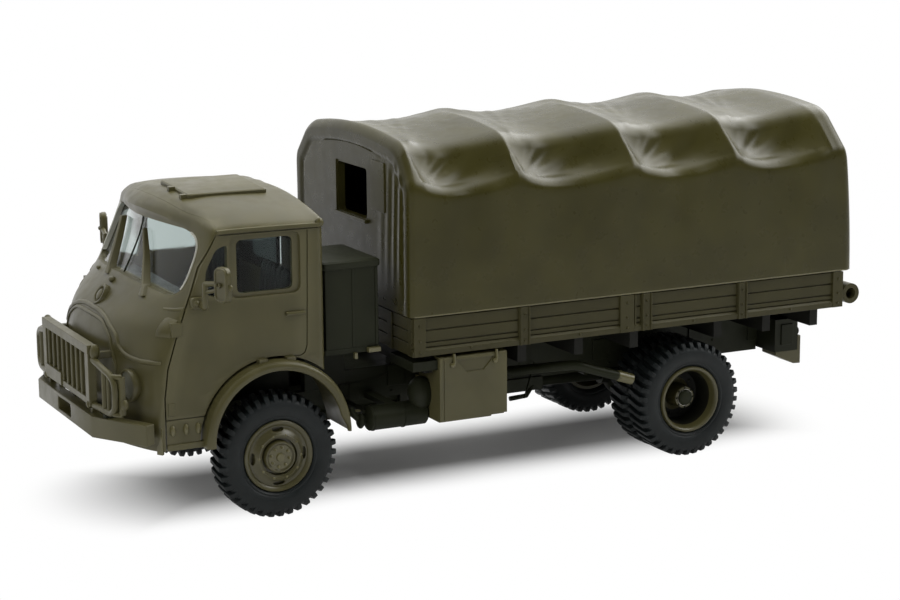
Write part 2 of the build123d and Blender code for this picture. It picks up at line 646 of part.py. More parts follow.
# Wipers, as (pivot, tip) a little ahead of the glass
WIPERS = (((10.2, 1.6, 20.3), (8.5, 1.0, 24.7)), ((9.7, -6.0, 20.2), (8.1, -3.1, 25.0)))
wipers = [(rod(pivot, tip, 0.25) - cab_body(0, 0)).solids().sort_by(SortBy.VOLUME)[-1] for pivot, tip in WIPERS]
write("wipers", Compound(wipers))

# Behind the cab: a stowage box at the left end of a cross shelf, which stands on the rails
SHELF_LOW = 13.7
SHELF_TOP = 14.2
stowage = block(-10.5, -5.2, -11.0, 11.0, SHELF_LOW, SHELF_TOP)
stowage += block(-10.4, -5.3, 3.3, 11.0, SHELF_TOP, 21.4) + block(-10.5, -5.2, 3.2, 11.1, 21.4, 22.1)
for sign in (1, -1):
    stowage += block(-9.8, -5.8, sign * RAIL_IN, sign * RAIL_OUT, RAIL_TOP_FRONT, SHELF_LOW)
write("stowage_box", stowage)

# Side lockers and tanks on the rails
write(
    "side_locker",
    block(-22.41, -15.57, 8.4, 12.8, 6.7, 12.76) + block(-21.0, -17.0, RAIL_OUT, 8.4, 8.0, 9.4),
)
fuel_tank = rod((-23.8, -9.6, 9.2), (-15.57, -9.6, 9.2), 2.6) + block(-21.5, -19.5, -9.6, -RAIL_OUT, 8.2, 9.4)
write("fuel_tank", fuel_tank)
LOCKER_FRONT = -15.57
TANK_Y = 9.6
TANK_Z = 7.0
air_tank = rod((LOCKER_FRONT, TANK_Y, TANK_Z), (-9.4, TANK_Y, TANK_Z), 1.3)
dome = Pos(-15.2, TANK_Y, TANK_Z + 1.8) * Sphere(1.35)
air_tank += dome - block(LOCKER_FRONT - 3, LOCKER_FRONT, 5, 15, 0, 15)
air_tank += block(-12.6, -11.8, RAIL_OUT, TANK_Y, 7.8, 8.3)
write("air_tank", air_tank)
silencer = rod((-12.9, -9.0, 7.3), (-7.3, -9.0, 7.3), 1.6) + block(-10.2, -9.4, -9.0, -RAIL_OUT, 7.8, 8.5)
write("silencer", silencer)
exhaust_bend = (-30.6, 10.6, 10.0)
exhaust = rod((-24.5, 5.2, 8.8), exhaust_bend, 0.45) + Pos(*exhaust_bend) * Sphere(0.45)
exhaust += rod(exhaust_bend, (-36.5, 11.5, 8.1), 0.45)
exhaust += block(-25.0, -24.0, RAIL_OUT, 5.6, 8.4, 9.2)
write("exhaust_pipe", exhaust)

# Rear end
TUBE_R = 1.0
TUBE_BORE_R = 0.55
TUBE_X = BED_REAR - 0.1 - TUBE_R
TUBE_Z = 14.25
tube = ring(TUBE_X, TUBE_Z, TUBE_R, TUBE_BORE_R, -BED_HALF, BED_HALF)
for y in (-8.0, 8.0):
    bracket = block(TUBE_X, BED_REAR, y - 0.5, y + 0.5, TUBE_Z - 0.4, TUBE_Z + 0.4)
    tube += bracket - disc(TUBE_X, TUBE_Z, TUBE_BORE_R, y - 1, y + 1)
write("rear_tube", tube)

HITCH_Z = 8.7
HITCH_EYE_X = -59.9
HITCH_EYE_R = 0.45
hitch = block(REAR_MEMBER_REAR - 0.4, REAR_MEMBER_REAR, -2.2, 2.2, CROSS_LOW, 10.0)
hitch += rod((REAR_MEMBER_REAR - 0.4, 0, HITCH_Z), (HITCH_EYE_X, 0, HITCH_Z), 0.7)
hitch += rod((HITCH_EYE_X, 0, HITCH_Z + 0.8), (HITCH_EYE_X, 0, HITCH_Z - 0.8), 1.0)
hitch -= rod((HITCH_EYE_X, 0, HITCH_Z + 2), (HITCH_EYE_X, 0, HITCH_Z - 2), HITCH_EYE_R)
write("tow_hitch", hitch)
# Bumperettes hang from the ends of the rear member, as (x, z)
BUMPERETTE = ((RAIL_REAR, CROSS_LOW), (RAIL_REAR, 7.7), (REAR_MEMBER_REAR, 6.5), (REAR_MEMBER_REAR, CROSS_LOW))
bumperette = across(BUMPERETTE, 5.6, REAR_MEMBER_HALF)
bumperette += block(REAR_MEMBER_REAR - 0.35, REAR_MEMBER_REAR, 5.6, REAR_MEMBER_HALF, 6.5, 9.4)
write("rear_bumperettes", pair(bumperette))
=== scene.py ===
import json
import math
import random

import bmesh
import bpy
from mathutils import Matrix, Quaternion, Vector


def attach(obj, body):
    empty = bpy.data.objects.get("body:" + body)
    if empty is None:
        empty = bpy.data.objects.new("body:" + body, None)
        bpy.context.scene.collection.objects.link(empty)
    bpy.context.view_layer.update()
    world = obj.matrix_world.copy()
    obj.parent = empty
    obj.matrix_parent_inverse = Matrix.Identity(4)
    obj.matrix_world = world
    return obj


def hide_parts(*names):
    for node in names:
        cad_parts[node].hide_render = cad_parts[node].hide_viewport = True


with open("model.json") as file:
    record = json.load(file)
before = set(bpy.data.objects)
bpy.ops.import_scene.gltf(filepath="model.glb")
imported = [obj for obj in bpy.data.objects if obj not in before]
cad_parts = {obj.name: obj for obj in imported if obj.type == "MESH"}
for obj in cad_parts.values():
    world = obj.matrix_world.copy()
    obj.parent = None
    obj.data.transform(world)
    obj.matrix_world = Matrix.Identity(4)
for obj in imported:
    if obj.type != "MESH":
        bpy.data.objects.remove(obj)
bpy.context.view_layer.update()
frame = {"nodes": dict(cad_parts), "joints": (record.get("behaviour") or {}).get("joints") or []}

bl_info = {
    "name": "Covered cargo truck model",
    "version": (1, 0, 0),
    "blender": (4, 5, 0),
    "location": "3D View > Sidebar > Truck Model",
    "description": "Dresses the packed truck with moulded plastic pieces, glazing, tyres and a small studio",
    "category": "Object",
}

# Shapes are drawn in millimetres counted from the front axle: x forward, y to the left, z up
MM = 0.001
ROLL_JOINTS = {joint["name"]: joint["pos_m"] for joint in frame["joints"]}
FRONT_AXLE = ROLL_JOINTS["wheel_front_left_roll"]
REAR_AXLE = ROLL_JOINTS["wheel_rear_left_roll"]
WHEELBASE = (FRONT_AXLE[0] - REAR_AXLE[0]) / MM
AXLE_Z = FRONT_AXLE[2] / MM


# Small mathematics


def steps(start, end, count):
    """Evenly spaced values from start to end, both included."""
    return [start + (end - start) * i / (count - 1) for i in range(count)]


def smooth(low, high, value):
    """0 below low, 1 above high, and an S curve between."""
    t = min(1.0, max(0.0, (value - low) / (high - low)))
    return t * t * (3 - 2 * t)


def bump(value, centre, width):
    """A bell curve of height 1."""
    return math.exp(-(((value - centre) / width) ** 2))


def bezier(start, pull, end, count):
    """Points of a quadratic curve that leaves start and meets end in the directions of pull."""
    start, pull, end = Vector(start), Vector(pull), Vector(end)
    return [start * (1 - t) ** 2 + pull * (2 * t * (1 - t)) + end * t * t for t in steps(0, 1, count)]


def rounded(corners, radius, count=5):
    """A closed outline of 2-D corners, each rounded by a curve that starts radius away from it."""
    points = []
    for i, corner in enumerate(corners):
        here = Vector(corner)
        before, after = Vector(corners[i - 1]), Vector(corners[(i + 1) % len(corners)])
        start = here + (before - here).normalized() * radius
        end = here + (after - here).normalized() * radius
        points += bezier(start, here, end, count)
    return points


def rounded_path(corners, radius, count=5):
    """An open path of 2-D corners, its inner corners rounded by a curve that starts radius away."""
    corners = [Vector(corner) for corner in corners]
    points = [corners[0]]
    for before, here, after in zip(corners, corners[1:], corners[2:]):
        near = min(radius, (before - here).length * 0.45, (after - here).length * 0.45)
        start = here + (before - here).normalized() * near
        end = here + (after - here).normalized() * near
        points += bezier(start, here, end, count)
    return [*points, corners[-1]]


def smooth_path(points, count):
    """A smooth curve through points, with count spans between each two."""
    points = [Vector(p) for p in points]
    line = [2 * points[0] - points[1], *points, 2 * points[-1] - points[-2]]
    path = []
    for a, b, c, d in zip(line, line[1:], line[2:], line[3:]):
        for t in steps(0, 1, count + 1)[:-1]:
            bend = (2 * a - 5 * b + 4 * c - d) * t * t
            twist = (3 * b - a - 3 * c + d) * t ** 3
            path.append(0.5 * (2 * b + (c - a) * t + bend + twist))
    return [*path, points[-1]]


def read_row(table, z):
    """A table row at height z, on smooth curves through the rows. The first column is the height."""
    last = len(table) - 1
    k = 0
    while k < last - 1 and z > table[k + 1][0]:
        k += 1
    t = (z - table[k][0]) / (table[k + 1][0] - table[k][0])
    t = min(1.0, max(0.0, t))
    values = []
    for column in range(1, len(table[0])):
        def slope(i):
            low, high = max(i - 1, 0), min(i + 1, last)
            return (table[high][column] - table[low][column]) / (table[high][0] - table[low][0])
        span = table[k + 1][0] - table[k][0]
        p0, p1 = table[k][column], table[k + 1][column]
        m0, m1 = slope(k) * span, slope(k + 1) * span
        t2, t3 = t * t, t * t * t
        near = p0 * (2 * t3 - 3 * t2 + 1) + m0 * (t3 - 2 * t2 + t)
        values.append(near + p1 * (3 * t2 - 2 * t3) + m1 * (t3 - t2))
    return values


# Settings that a user would change


class TruckFinishSettings(bpy.types.PropertyGroup):
    """Colours and sheen of the truck's mouldings."""

    olive: bpy.props.FloatVectorProperty(
        name="Body olive", description="Colour of the cab, bed and guards", subtype="COLOR", size=3,
        min=0, max=1, default=(0.058, 0.052, 0.0195),
    )
    cover: bpy.props.FloatVectorProperty(
        name="Cover olive", description="Colour of the moulded cover", subtype="COLOR", size=3,
        min=0, max=1, default=(0.038, 0.034, 0.0085),
    )
    # Darker than the body olive: painted shade on the frame and the parts under the cab and bed
    chassis: bpy.props.FloatVectorProperty(
        name="Chassis olive", description="Colour of the frame and the parts under it", subtype="COLOR",
        size=3, min=0, max=1, default=(0.0135, 0.015, 0.0075),
    )
    rubber: bpy.props.FloatVectorProperty(
        name="Tyre black", description="Colour of the tyres", subtype="COLOR", size=3,
        min=0, max=1, default=(0.0065, 0.0085, 0.0085),
    )
    sheen: bpy.props.FloatProperty(
        name="Roughness", description="Roughness of the moulded plastic", subtype="FACTOR",
        min=0.1, max=1, default=0.36,
    )


class TruckShapeSettings(bpy.types.PropertyGroup):
    """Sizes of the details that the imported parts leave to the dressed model."""

    lug_count: bpy.props.IntProperty(
        name="Lugs", description="Lugs in each row round a tyre", min=12, max=60, default=38,
    )
    guard_bars: bpy.props.IntProperty(
        name="Guard bars", description="Upright bars in the brush guard", min=3, max=15, default=9,
    )
    dent_depth: bpy.props.FloatProperty(
        name="Cover dents", description="How deep the cover sags between its bows", subtype="DISTANCE",
        unit="LENGTH", min=0, max=0.002, default=0.0009,
    )


class TruckStudioSettings(bpy.types.PropertyGroup):
    """The pale studio round the truck."""

    key_power: bpy.props.FloatProperty(
        name="Overhead lamp", description="Power of the soft lamp above", subtype="POWER", unit="POWER",
        min=0, default=1.3,
    )
    fill_power: bpy.props.FloatProperty(
        name="Front lamp", description="Power of the weaker lamp at the front left", subtype="POWER",
        unit="POWER", min=0, default=0.32,
    )
    ambient: bpy.props.FloatProperty(
        name="Ambient", description="Level of the pale surroundings", min=0, max=2, default=0.3,
    )
    focal_length: bpy.props.FloatProperty(
        name="Focal length", description="Focal length of the camera's lens", unit="CAMERA",
        min=10, max=300, default=89.4,
    )


PROPERTY_GROUPS = {
    "truck_finish": TruckFinishSettings,
    "truck_shape": TruckShapeSettings,
    "truck_studio": TruckStudioSettings,
}


def shape_settings():
    """The shape settings in use."""
    return bpy.context.scene.truck_shape


def tinted(colour, scale):
    """A colour made lighter or darker."""
    return tuple(min(1.0, c * scale) for c in colour)


# Colours that no setting changes
INTERIOR_GREY = (0.014, 0.019, 0.019)
# Near-black painted shade for the grille's back, the rear rims' bowls and the bearers under the bed
SHADE_BLACK = (0.006, 0.006, 0.004)
# The pale tone of the windscreen's strip and lips: a painted highlight
LIP_PALE = (0.3, 0.3, 0.25)
LENS_TINT = (0.16, 0.16, 0.12)
MIRROR_SILVER = (0.7, 0.72, 0.72)
PIN_STEEL = (0.5, 0.48, 0.45)
SCREEN_TINT = (0.92, 0.95, 0.94)
SIDE_TINT = (0.42, 0.48, 0.47)
# The rear window's near-black tint is painted shade from the cab's shadow
REAR_SHADE_TINT = (0.05, 0.06, 0.06)


def get_finish(kind):
    """The named finish, made on first use."""
    name = f"truck_{kind}"
    if name in bpy.data.materials:
        return bpy.data.materials[name]
    colours = bpy.context.scene.truck_finish
    olive, cover, dark, rubber = map(tuple, (colours.olive, colours.cover, colours.chassis, colours.rubber))
    sheen = colours.sheen
    makers = {
        "body": lambda: plastic(name, olive, sheen, 0.3),
        "bed": lambda: plastic(name, tinted(olive, 0.62), sheen + 0.04, 0.15, edge=0.15),
        "cover": lambda: plastic(name, cover, sheen - 0.06, 0.2, variation=0.12, grain=0.04, edge=0.2),
        # The darker chassis olive: painted shade on the parts under the cab and bed
        "chassis": lambda: plastic(name, dark, sheen + 0.06, 0.1, variation=0.12, edge=0.12),
        # A paler, glossier copy of the body olive: a painted highlight on small raised parts that catch the
        # light
        "worn": lambda: plastic(name, tinted(olive, 1.4), sheen - 0.04, 0.5, variation=0.12),
        "rim": lambda: plastic(name, tinted(olive, 0.86), sheen - 0.02, 0.45),
        "tyre": lambda: plastic(name, rubber, 0.5, 0.25, variation=0.18, grain=0.25, edge=0.06, blotch=700),
        "interior": lambda: plastic(name, INTERIOR_GREY, 0.4, 0.35, variation=0.12),
        # Pale windscreen strip: a painted highlight
        "screen_lip": lambda: plastic(name, LIP_PALE, 0.25, 0.6, variation=0.08),
        # Near-black painted shade, for deep recesses and undersides
        "recess": lambda: plastic(name, SHADE_BLACK, 0.5, 0.1),
        "lamp": lambda: clear(name, LENS_TINT, 0.05, 0.35),
        "screen": lambda: clear(name, SCREEN_TINT, 0.0, 1.0),
        "glazing": lambda: clear(name, SIDE_TINT, 0.0, 1.0),
        # Rear window glass darkened with painted shade
        "dark_glazing": lambda: clear(name, REAR_SHADE_TINT, 0.0, 1.0),
        "mirror": lambda: steel(name, MIRROR_SILVER, 0.12),
        "pin": lambda: steel(name, PIN_STEEL),
    }
    return makers[kind]()


# Shape making


class Moulding:
    """Collects closed forms in millimetres from the front axle, and turns them into one piece."""

    def __init__(self):
        self.points = []
        self.faces = []

    def add(self, points, faces):
        start = len(self.points)
        self.points += [tuple(point) for point in points]
        self.faces += [tuple(start + i for i in face) for face in faces]
        return self

    def block(self, x0, x1, y0, y1, z0, z1):
        points = [(x, y, z) for x in (x0, x1) for y in (y0, y1) for z in (z0, z1)]
        faces = [(0, 1, 3, 2), (4, 6, 7, 5), (0, 4, 5, 1), (2, 3, 7, 6), (0, 2, 6, 4), (1, 5, 7, 3)]
        return self.add(points, faces)

    def loft(self, rings, closed=True, caps=True):
        """A skin over rings of equally many points."""
        count = len(rings[0])
        faces = []
        for r in range(len(rings) - 1):
            for i in range(count if closed else count - 1):
                j = (i + 1) % count
                faces.append((r * count + i, r * count + j, (r + 1) * count + j, (r + 1) * count + i))
        if caps:
            faces.append(tuple(range(count)))
            faces.append(tuple(range((len(rings) - 1) * count, len(rings) * count)))
        return self.add([point for ring in rings for point in ring], faces)

    def prism(self, outline, low, high, axis):
        """A 2-D outline pushed along an axis: (y, z) along x, (x, z) along y, (x, y) along z."""
        place = {
            "x": lambda p, h: (h, p[0], p[1]),
            "y": lambda p, h: (p[0], h, p[1]),
            "z": lambda p, h: (p[0], p[1], h),
        }[axis]
        return self.loft([[place(p, low) for p in outline], [place(p, high) for p in outline]])

    def lathe(self, profile, centre, count=48, axis="y"):
        """A closed (radius, height) profile turned about the y or the x axis through a point."""
        x, y, z = centre
        rings = []
        for i in range(count):
            a = math.tau * i / count
            c, s = math.cos(a), math.sin(a)
            if axis == "y":
                rings.append([(x + r * c, y + h, z + r * s) for r, h in profile])
            else:
                rings.append([(x + h, y + r * c, z + r * s) for r, h in profile])
        return self.loft([*rings, rings[0]], caps=False)

    def tube(self, path, radius, sides=10, end_radius=None):
        """A round bar along a path, with flat ends."""
        path = [Vector(p) for p in path]
        end_radius = radius if end_radius is None else end_radius
        side = None
        rings = []
        for i, point in enumerate(path):
            ahead = (path[min(i + 1, len(path) - 1)] - path[max(i - 1, 0)]).normalized()
            if side is None:
                side = ahead.orthogonal().normalized()
            side = (side - ahead * side.dot(ahead)).normalized()
            up = ahead.cross(side)
            r = radius + (end_radius - radius) * i / (len(path) - 1)
            turns = [math.tau * k / sides for k in range(sides)]
            rings.append([point + (side * math.cos(a) + up * math.sin(a)) * r for a in turns])
        return self.loft(rings)

    def strip(self, path, up, width, low, high):
        """A bar of square section along a path: width across, from low to high along up."""
        path = [Vector(p) for p in path]
        up = Vector(up)
        rings = []
        for i, point in enumerate(path):
            before, after = path[max(i - 1, 0)], path[min(i + 1, len(path) - 1)]
            side = (after - before).normalized().cross(up).normalized() * width / 2
            left, right = point + side, point - side
            rings.append([left + up * low, left + up * high, right + up * high, right + up * low])
        return self.loft(rings)

    def ball(self, centre, radius, squash=(1, 1, 1), count=12):
        """A small rounded bead."""
        x, y, z = centre
        long, wide, tall = (radius * share for share in squash)
        angles = [math.tau * k / (2 * count) for k in range(2 * count)]
        turns = [(math.cos(a), math.sin(a)) for a in angles]
        rings = []
        for i in range(1, count):
            out, up = math.sin(math.pi * i / count), math.cos(math.pi * i / count)
            rings.append([(x + long * out * c, y + wide * out * s, z + tall * up) for c, s in turns])
        return self.loft(rings)

    def join(self, other):
        """Takes in another moulding's forms."""
        return self.add(other.points, other.faces)

    def flipped(self):
        """The same forms on the right side only."""
        points = [(x, -y, z) for x, y, z in self.points]
        return Moulding().add(points, [tuple(reversed(face)) for face in self.faces])

    def mirror(self):
        """Adds the same forms on the truck's right side."""
        return self.join(self.flipped())

    def mesh(self, name):
        """The forms as a mesh in metres, in the shared frame."""
        shape = bmesh.new()
        points = [shape.verts.new((x * MM + FRONT_AXLE[0], y * MM, z * MM)) for x, y, z in self.points]
        for face in self.faces:
            corners = [points[i] for i in face]
            if len(set(corners)) == len(corners) and not shape.faces.get(corners):
                shape.faces.new(corners)
        bmesh.ops.remove_doubles(shape, verts=shape.verts, dist=0.002 * MM)
        bmesh.ops.dissolve_degenerate(shape, edges=shape.edges, dist=0.001 * MM)
        bmesh.ops.recalc_face_normals(shape, faces=shape.faces)
        mesh = bpy.data.meshes.new(name)
        shape.to_mesh(mesh)
        shape.free()
        return mesh

    def raw(self, name):
        """The forms as an object with no finish, such as a cutter."""
        piece = bpy.data.objects.new(name, self.mesh(name))
        bpy.context.scene.collection.objects.link(piece)
        return piece


SMOOTH_ANGLE = math.radians(38)


def settle(piece):
    """Applies a piece's modifiers to its mesh."""
    bpy.context.view_layer.update()
    done = bpy.data.meshes.new_from_object(piece.evaluated_get(bpy.context.evaluated_depsgraph_get()))
    piece.modifiers.clear()
    old = piece.data
    piece.data = done
    bpy.data.meshes.remove(old)


def carve(piece, cutter):
    """Cuts closed forms out of a piece."""
    tool = cutter.raw(f"{piece.name}_cutter")
    change = piece.modifiers.new("cut", "BOOLEAN")
    change.operation = "DIFFERENCE"
    change.solver = "MANIFOLD"
    change.object = tool
    settle(piece)
    bpy.data.objects.remove(tool)


def thicken(piece, wall):
    """Gives a skin its wall, inwards."""
    change = piece.modifiers.new("wall", "SOLIDIFY")
    change.thickness = wall * MM
    change.offset = -1
    change.use_even_offset = False
    settle(piece)


def soften(piece, width, segments=2, angle=35):
    """Rounds a piece's sharp edges, as a mould leaves them."""
    change = piece.modifiers.new("rounded edges", "BEVEL")
    change.width = width * MM
    change.segments = segments
    change.limit_method = "ANGLE"
    change.angle_limit = math.radians(angle)
    change.use_clamp_overlap = True
    change.harden_normals = True
    change.miter_outer = "MITER_ARC"


def finish(piece, material, body="chassis", slot="body", replaces=(), edge=0.06, segments=2):
    """Gives a piece its rounded edges, shading, material and body. The slot is not used."""
    mesh = piece.data
    mesh.materials.clear()
    mesh.materials.append(material)
    mesh.shade_smooth()
    mesh.set_sharp_from_angle(angle=SMOOTH_ANGLE)
    if edge:
        soften(piece, edge, segments)
    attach(piece, body)
    if replaces:
        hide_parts(*replaces)
    return piece


def make(name, forms, material, **finishing):
    """Turns a moulding into a finished piece."""
    return finish(forms.raw(name), material, **finishing)


def dress(node, material, edge=0.05):
    """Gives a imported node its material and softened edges, and leaves its mesh as it is."""
    piece = frame["nodes"][node]
    piece.data.materials.clear()
    piece.data.materials.append(material)
    if edge:
        soften(piece, edge)
    return piece


def split_by(piece, test):
    """Parts a carved piece's islands: where test(centre) is true they stay, and the rest are returned."""
    shape = bmesh.new()
    shape.from_mesh(piece.data)
    shape.verts.ensure_lookup_table()
    seen = set()
    kept = set()
    for start in shape.verts:
        if start.index in seen:
            continue
        island, queue = [], [start]
        seen.add(start.index)
        while queue:
            vertex = queue.pop()
            island.append(vertex)
            for edge in vertex.link_edges:
                other = edge.other_vert(vertex)
                if other.index not in seen:
                    seen.add(other.index)
                    queue.append(other)
        if test(sum((v.co for v in island), Vector()) / len(island)):
            kept.update(v.index for v in island)
    shape.free()
    rest = bpy.data.objects.new(piece.name + "_rest", piece.data.copy())
    bpy.context.scene.collection.objects.link(rest)
    for piece_mesh, stays in ((piece.data, True), (rest.data, False)):
        part = bmesh.new()
        part.from_mesh(piece_mesh)
        bmesh.ops.delete(part, geom=[v for v in part.verts if (v.index in kept) != stays], context="VERTS")
        part.to_mesh(piece_mesh)
        part.free()
    return rest


# Finishes


class Wires:
    """Adds nodes to a material's or the world's tree, and links them."""

    def __init__(self, tree):
        self.nodes = tree.nodes
        self.links = tree.links

    def feed(self, socket, value):
        """Links a socket to another one, or sets it to a number or a colour."""
        if isinstance(value, bpy.types.NodeSocket):
            self.links.new(value, socket)
        else:
            socket.default_value = (*value, 1) if isinstance(value, tuple) else value

    def cloud(self, place, scale, detail):
        """Soft noise at a scale."""
        texture = self.nodes.new("ShaderNodeTexNoise")
        texture.inputs["Scale"].default_value = scale
        texture.inputs["Detail"].default_value = detail
        self.links.new(place, texture.inputs["Vector"])
        return texture.outputs["Fac"]

    def ranged(self, source, low, high, to_low=0.0, to_high=1.0, kind="LINEAR"):
        """A value moved from one range to another."""
        node = self.nodes.new("ShaderNodeMapRange")
        node.interpolation_type = kind
        for key, value in (("From Min", low), ("From Max", high), ("To Min", to_low), ("To Max", to_high)):
            node.inputs[key].default_value = value
        self.links.new(source, node.inputs["Value"])
        return node.outputs["Result"]

    def eased(self, source, low, high, to_low=0.0, to_high=1.0):
        """The same with a smooth start and end."""
        return self.ranged(source, low, high, to_low, to_high, "SMOOTHSTEP")

    def mixed(self, factor, first, second):
        """A mix of two colours."""
        node = self.nodes.new("ShaderNodeMix")
        node.data_type = "RGBA"
        for key, value in (("Factor", factor), ("A", first), ("B", second)):
            self.feed(node.inputs[key], value)
        return node.outputs["Result"]

    def combine(self, operation, first, second=0.0):
        """A Math node on two sockets or numbers."""
        node = self.nodes.new("ShaderNodeMath")
        node.operation = operation
        self.feed(node.inputs[0], first)
        self.feed(node.inputs[1], second)
        return node.outputs[0]

    def parts(self, place):
        """The X, Y and Z of a place."""
        node = self.nodes.new("ShaderNodeSeparateXYZ")
        self.links.new(place, node.inputs[0])
        return node.outputs["X"], node.outputs["Y"], node.outputs["Z"]

    def show(self, factor, first, second, output):
        """Mixes two shaders into the tree's output."""
        node = self.nodes.new("ShaderNodeMixShader")
        for socket, value in zip(node.inputs, (factor, first.outputs[0], second.outputs[0])):
            self.links.new(value, socket)
        self.links.new(node.outputs[0], self.nodes[output].inputs["Surface"])


# How sharp an edge is where its colour begins to pale, and where it is palest
EDGE_FROM, EDGE_TO = 0.52, 0.62
PALE_SCALE, PALE_LIFT = 1.5, 0.02
# The fine grain of a mould's surface: its scale, and its depth in millimetres
GRAIN_SCALE, GRAIN_DEPTH = 9000, 0.05


def plastic(name, colour, roughness, gloss, variation=0.10, grain=0.05, edge=0.35, blotch=260):
    """Moulded plastic: slightly uneven colour and sheen, a fine grain, and paler colour on sharp edges."""
    material = bpy.data.materials.new(name)
    material.use_nodes = True
    wires = Wires(material.node_tree)
    shader = wires.nodes["Principled BSDF"]
    shader.inputs["Specular IOR Level"].default_value = gloss
    place = wires.nodes.new("ShaderNodeTexCoord").outputs["Object"]
    darker = tuple(c * (1 - variation) for c in colour)
    lighter = tuple(c * (1 + variation) for c in colour)
    base = wires.mixed(wires.ranged(wires.cloud(place, blotch, 4), 0.35, 0.65), darker, lighter)
    worn = tuple(min(1.0, c * PALE_SCALE + PALE_LIFT) for c in colour)
    sharpness = wires.nodes.new("ShaderNodeNewGeometry").outputs["Pointiness"]
    edges = wires.ranged(sharpness, EDGE_FROM, EDGE_TO, 0, edge)
    wires.feed(shader.inputs["Base Color"], wires.mixed(edges, base, worn))
    rubbed = wires.ranged(wires.cloud(place, blotch * 3, 3), 0.3, 0.7, roughness - 0.05, roughness + 0.06)
    wires.feed(shader.inputs["Roughness"], rubbed)
    relief = wires.nodes.new("ShaderNodeBump")
    relief.inputs["Strength"].default_value = grain
    relief.inputs["Distance"].default_value = GRAIN_DEPTH * MM
    wires.feed(relief.inputs["Height"], wires.cloud(place, GRAIN_SCALE, 2))
    wires.feed(shader.inputs["Normal"], relief.outputs["Normal"])
    return material


def steel(name, colour, roughness=0.32):
    """Turned steel: metal with fine rings and a little grime."""
    material = plastic(name, colour, roughness, 0.5, variation=0.08, grain=0.03, edge=0.2, blotch=900)
    material.node_tree.nodes["Principled BSDF"].inputs["Metallic"].default_value = 1.0
    return material


def clear(name, colour, roughness, amount):
    """Clear moulded glazing with slight waviness."""
    material = plastic(name, colour, roughness + 0.05, 0.2, variation=0.05, grain=0.02, edge=0.0, blotch=150)
    shader = material.node_tree.nodes["Principled BSDF"]
    shader.inputs["Transmission Weight"].default_value = amount
    shader.inputs["IOR"].default_value = 1.2
    return material


# Cab

# The cab's outer surface, as (height, x at the middle, how far the front falls back at CORNER_Y,
# how suddenly it falls, x where the side begins)
CAB_ROWS = (
    (7.3, 13.7, 2.3, 2.0, 10.3),
    (10.0, 13.9, 2.3, 2.0, 10.6),
    (14.4, 13.8, 2.5, 2.1, 9.8),
    (17.5, 12.8, 2.6, 2.7, 8.8),
    (19.6, 10.9, 2.1, 2.6, 8.0),
    (21.0, 9.8, 1.9, 1.8, 7.5),
    (25.6, 7.9, 1.9, 1.4, 5.3),
    (27.4, 8.5, 2.2, 1.7, 4.6),
)
CORNER_Y = 10.9
CORNER_START_Y = 10.3
CAB_HALF = 12.2
CAB_REAR = -4.75
CAB_LOW = 7.3
CAB_WALL = 0.8
ROOF_Z = 28.4
SIDE_TOP_Z = 25.8
BROW_RISE = 0.95
REAR_RISE = 0.8
ARCH_X = 0.1
ARCH_Z = 7.5
ARCH_R = 6.8
# The seam between the front mask and the shell, as (x, z) down the cab's side
SEAM = (
    (4.6, 30.0), (4.8, 27.5), (5.07, 25.83), (6.7, 22.96), (8.06, 19.64), (9.05, 16.96), (9.85, 14.44),
    (10.2, 11.88), (10.2, 5.0),
)
# The roof: where its ridge begins and ends, and how far in its edges are rounded
RIDGE_REAR, RIDGE_FRONT = -2.6, 4.6
ROOF_FRONT_TURN = 3.0
ROOF_REAR_TURN = 1.3
ROOF_SIDE_TURN = 3.2
SEAM_GAP = 0.13
ROOF_SEAM_GAP = 0.015
SEAM_ROOF_BOW = 2.2
# The rear corners' radius, the height up to which the walls are drawn in even steps, and how the roof
# is drawn in from the eaves to the ridge
CAB_CORNER_R = 0.7
WALL_TOP_Z = 25.0
ROOF_STEPS = (0.02, 0.05, 0.09, 0.14, 0.2, 0.28, 0.37, 0.48, 0.6, 0.72, 0.84, 0.93, 1.0)


def front_x(y, z):
    """Where the cab's front surface is at a place across and up."""
    middle, fall, bend, _ = read_row(CAB_ROWS, z)
    return middle - fall * (abs(y) / CORNER_Y) ** bend


def cab_half_outline(z):
    """The left half of the cab's plan at a height, from the middle of the front to that of the rear."""
    side_x = read_row(CAB_ROWS, z)[3]
    points = [Vector((front_x(y, z), y)) for y in steps(0, CORNER_START_Y, 27)]
    start = points[-1]
    slope = (front_x(CORNER_START_Y + 0.05, z) - start.x) / 0.05
    pull = (max(start.x + slope * (CAB_HALF - CORNER_START_Y), side_x + 0.02), CAB_HALF)
    points += bezier(start, pull, (side_x, CAB_HALF), 9)[1:]
    turn_x, turn_y = CAB_REAR + CAB_CORNER_R, CAB_HALF - CAB_CORNER_R
    points += [Vector((x, CAB_HALF)) for x in steps(side_x, turn_x, 16)[1:]]
    points += bezier((turn_x, CAB_HALF), (CAB_REAR, CAB_HALF), (CAB_REAR, turn_y), 5)[1:]
    points += [Vector((CAB_REAR, y)) for y in steps(turn_y, 0, 12)[1:]]
    return points


def brow(y):
    """The height of the roof's edge over the windscreen."""
    return SIDE_TOP_Z + BROW_RISE * max(0.0, 1 - (y / 9.5) ** 2)


def eave(point):
    """The height at which the cab's wall turns over into the roof."""
    across = max(0.0, abs(point.y) - 8.0) / (CAB_HALF - 8.0)
    rear = SIDE_TOP_Z + REAR_RISE * math.sqrt(max(0.0, 1 - across ** 2))
    return rear + (brow(point.y) - rear) * smooth(CAB_REAR, 7.0, point.x)


def roof_top(x, y):
    """The roof's height away from its rounded edges."""
    lengthways = 0.9 * max(0.0, (x - 2.9) / 6.0) ** 2 + 0.3 * max(0.0, (2.9 - x) / 7.4) ** 2
    return ROOF_Z - 0.9 * (y / 8.8) ** 2 - lengthways


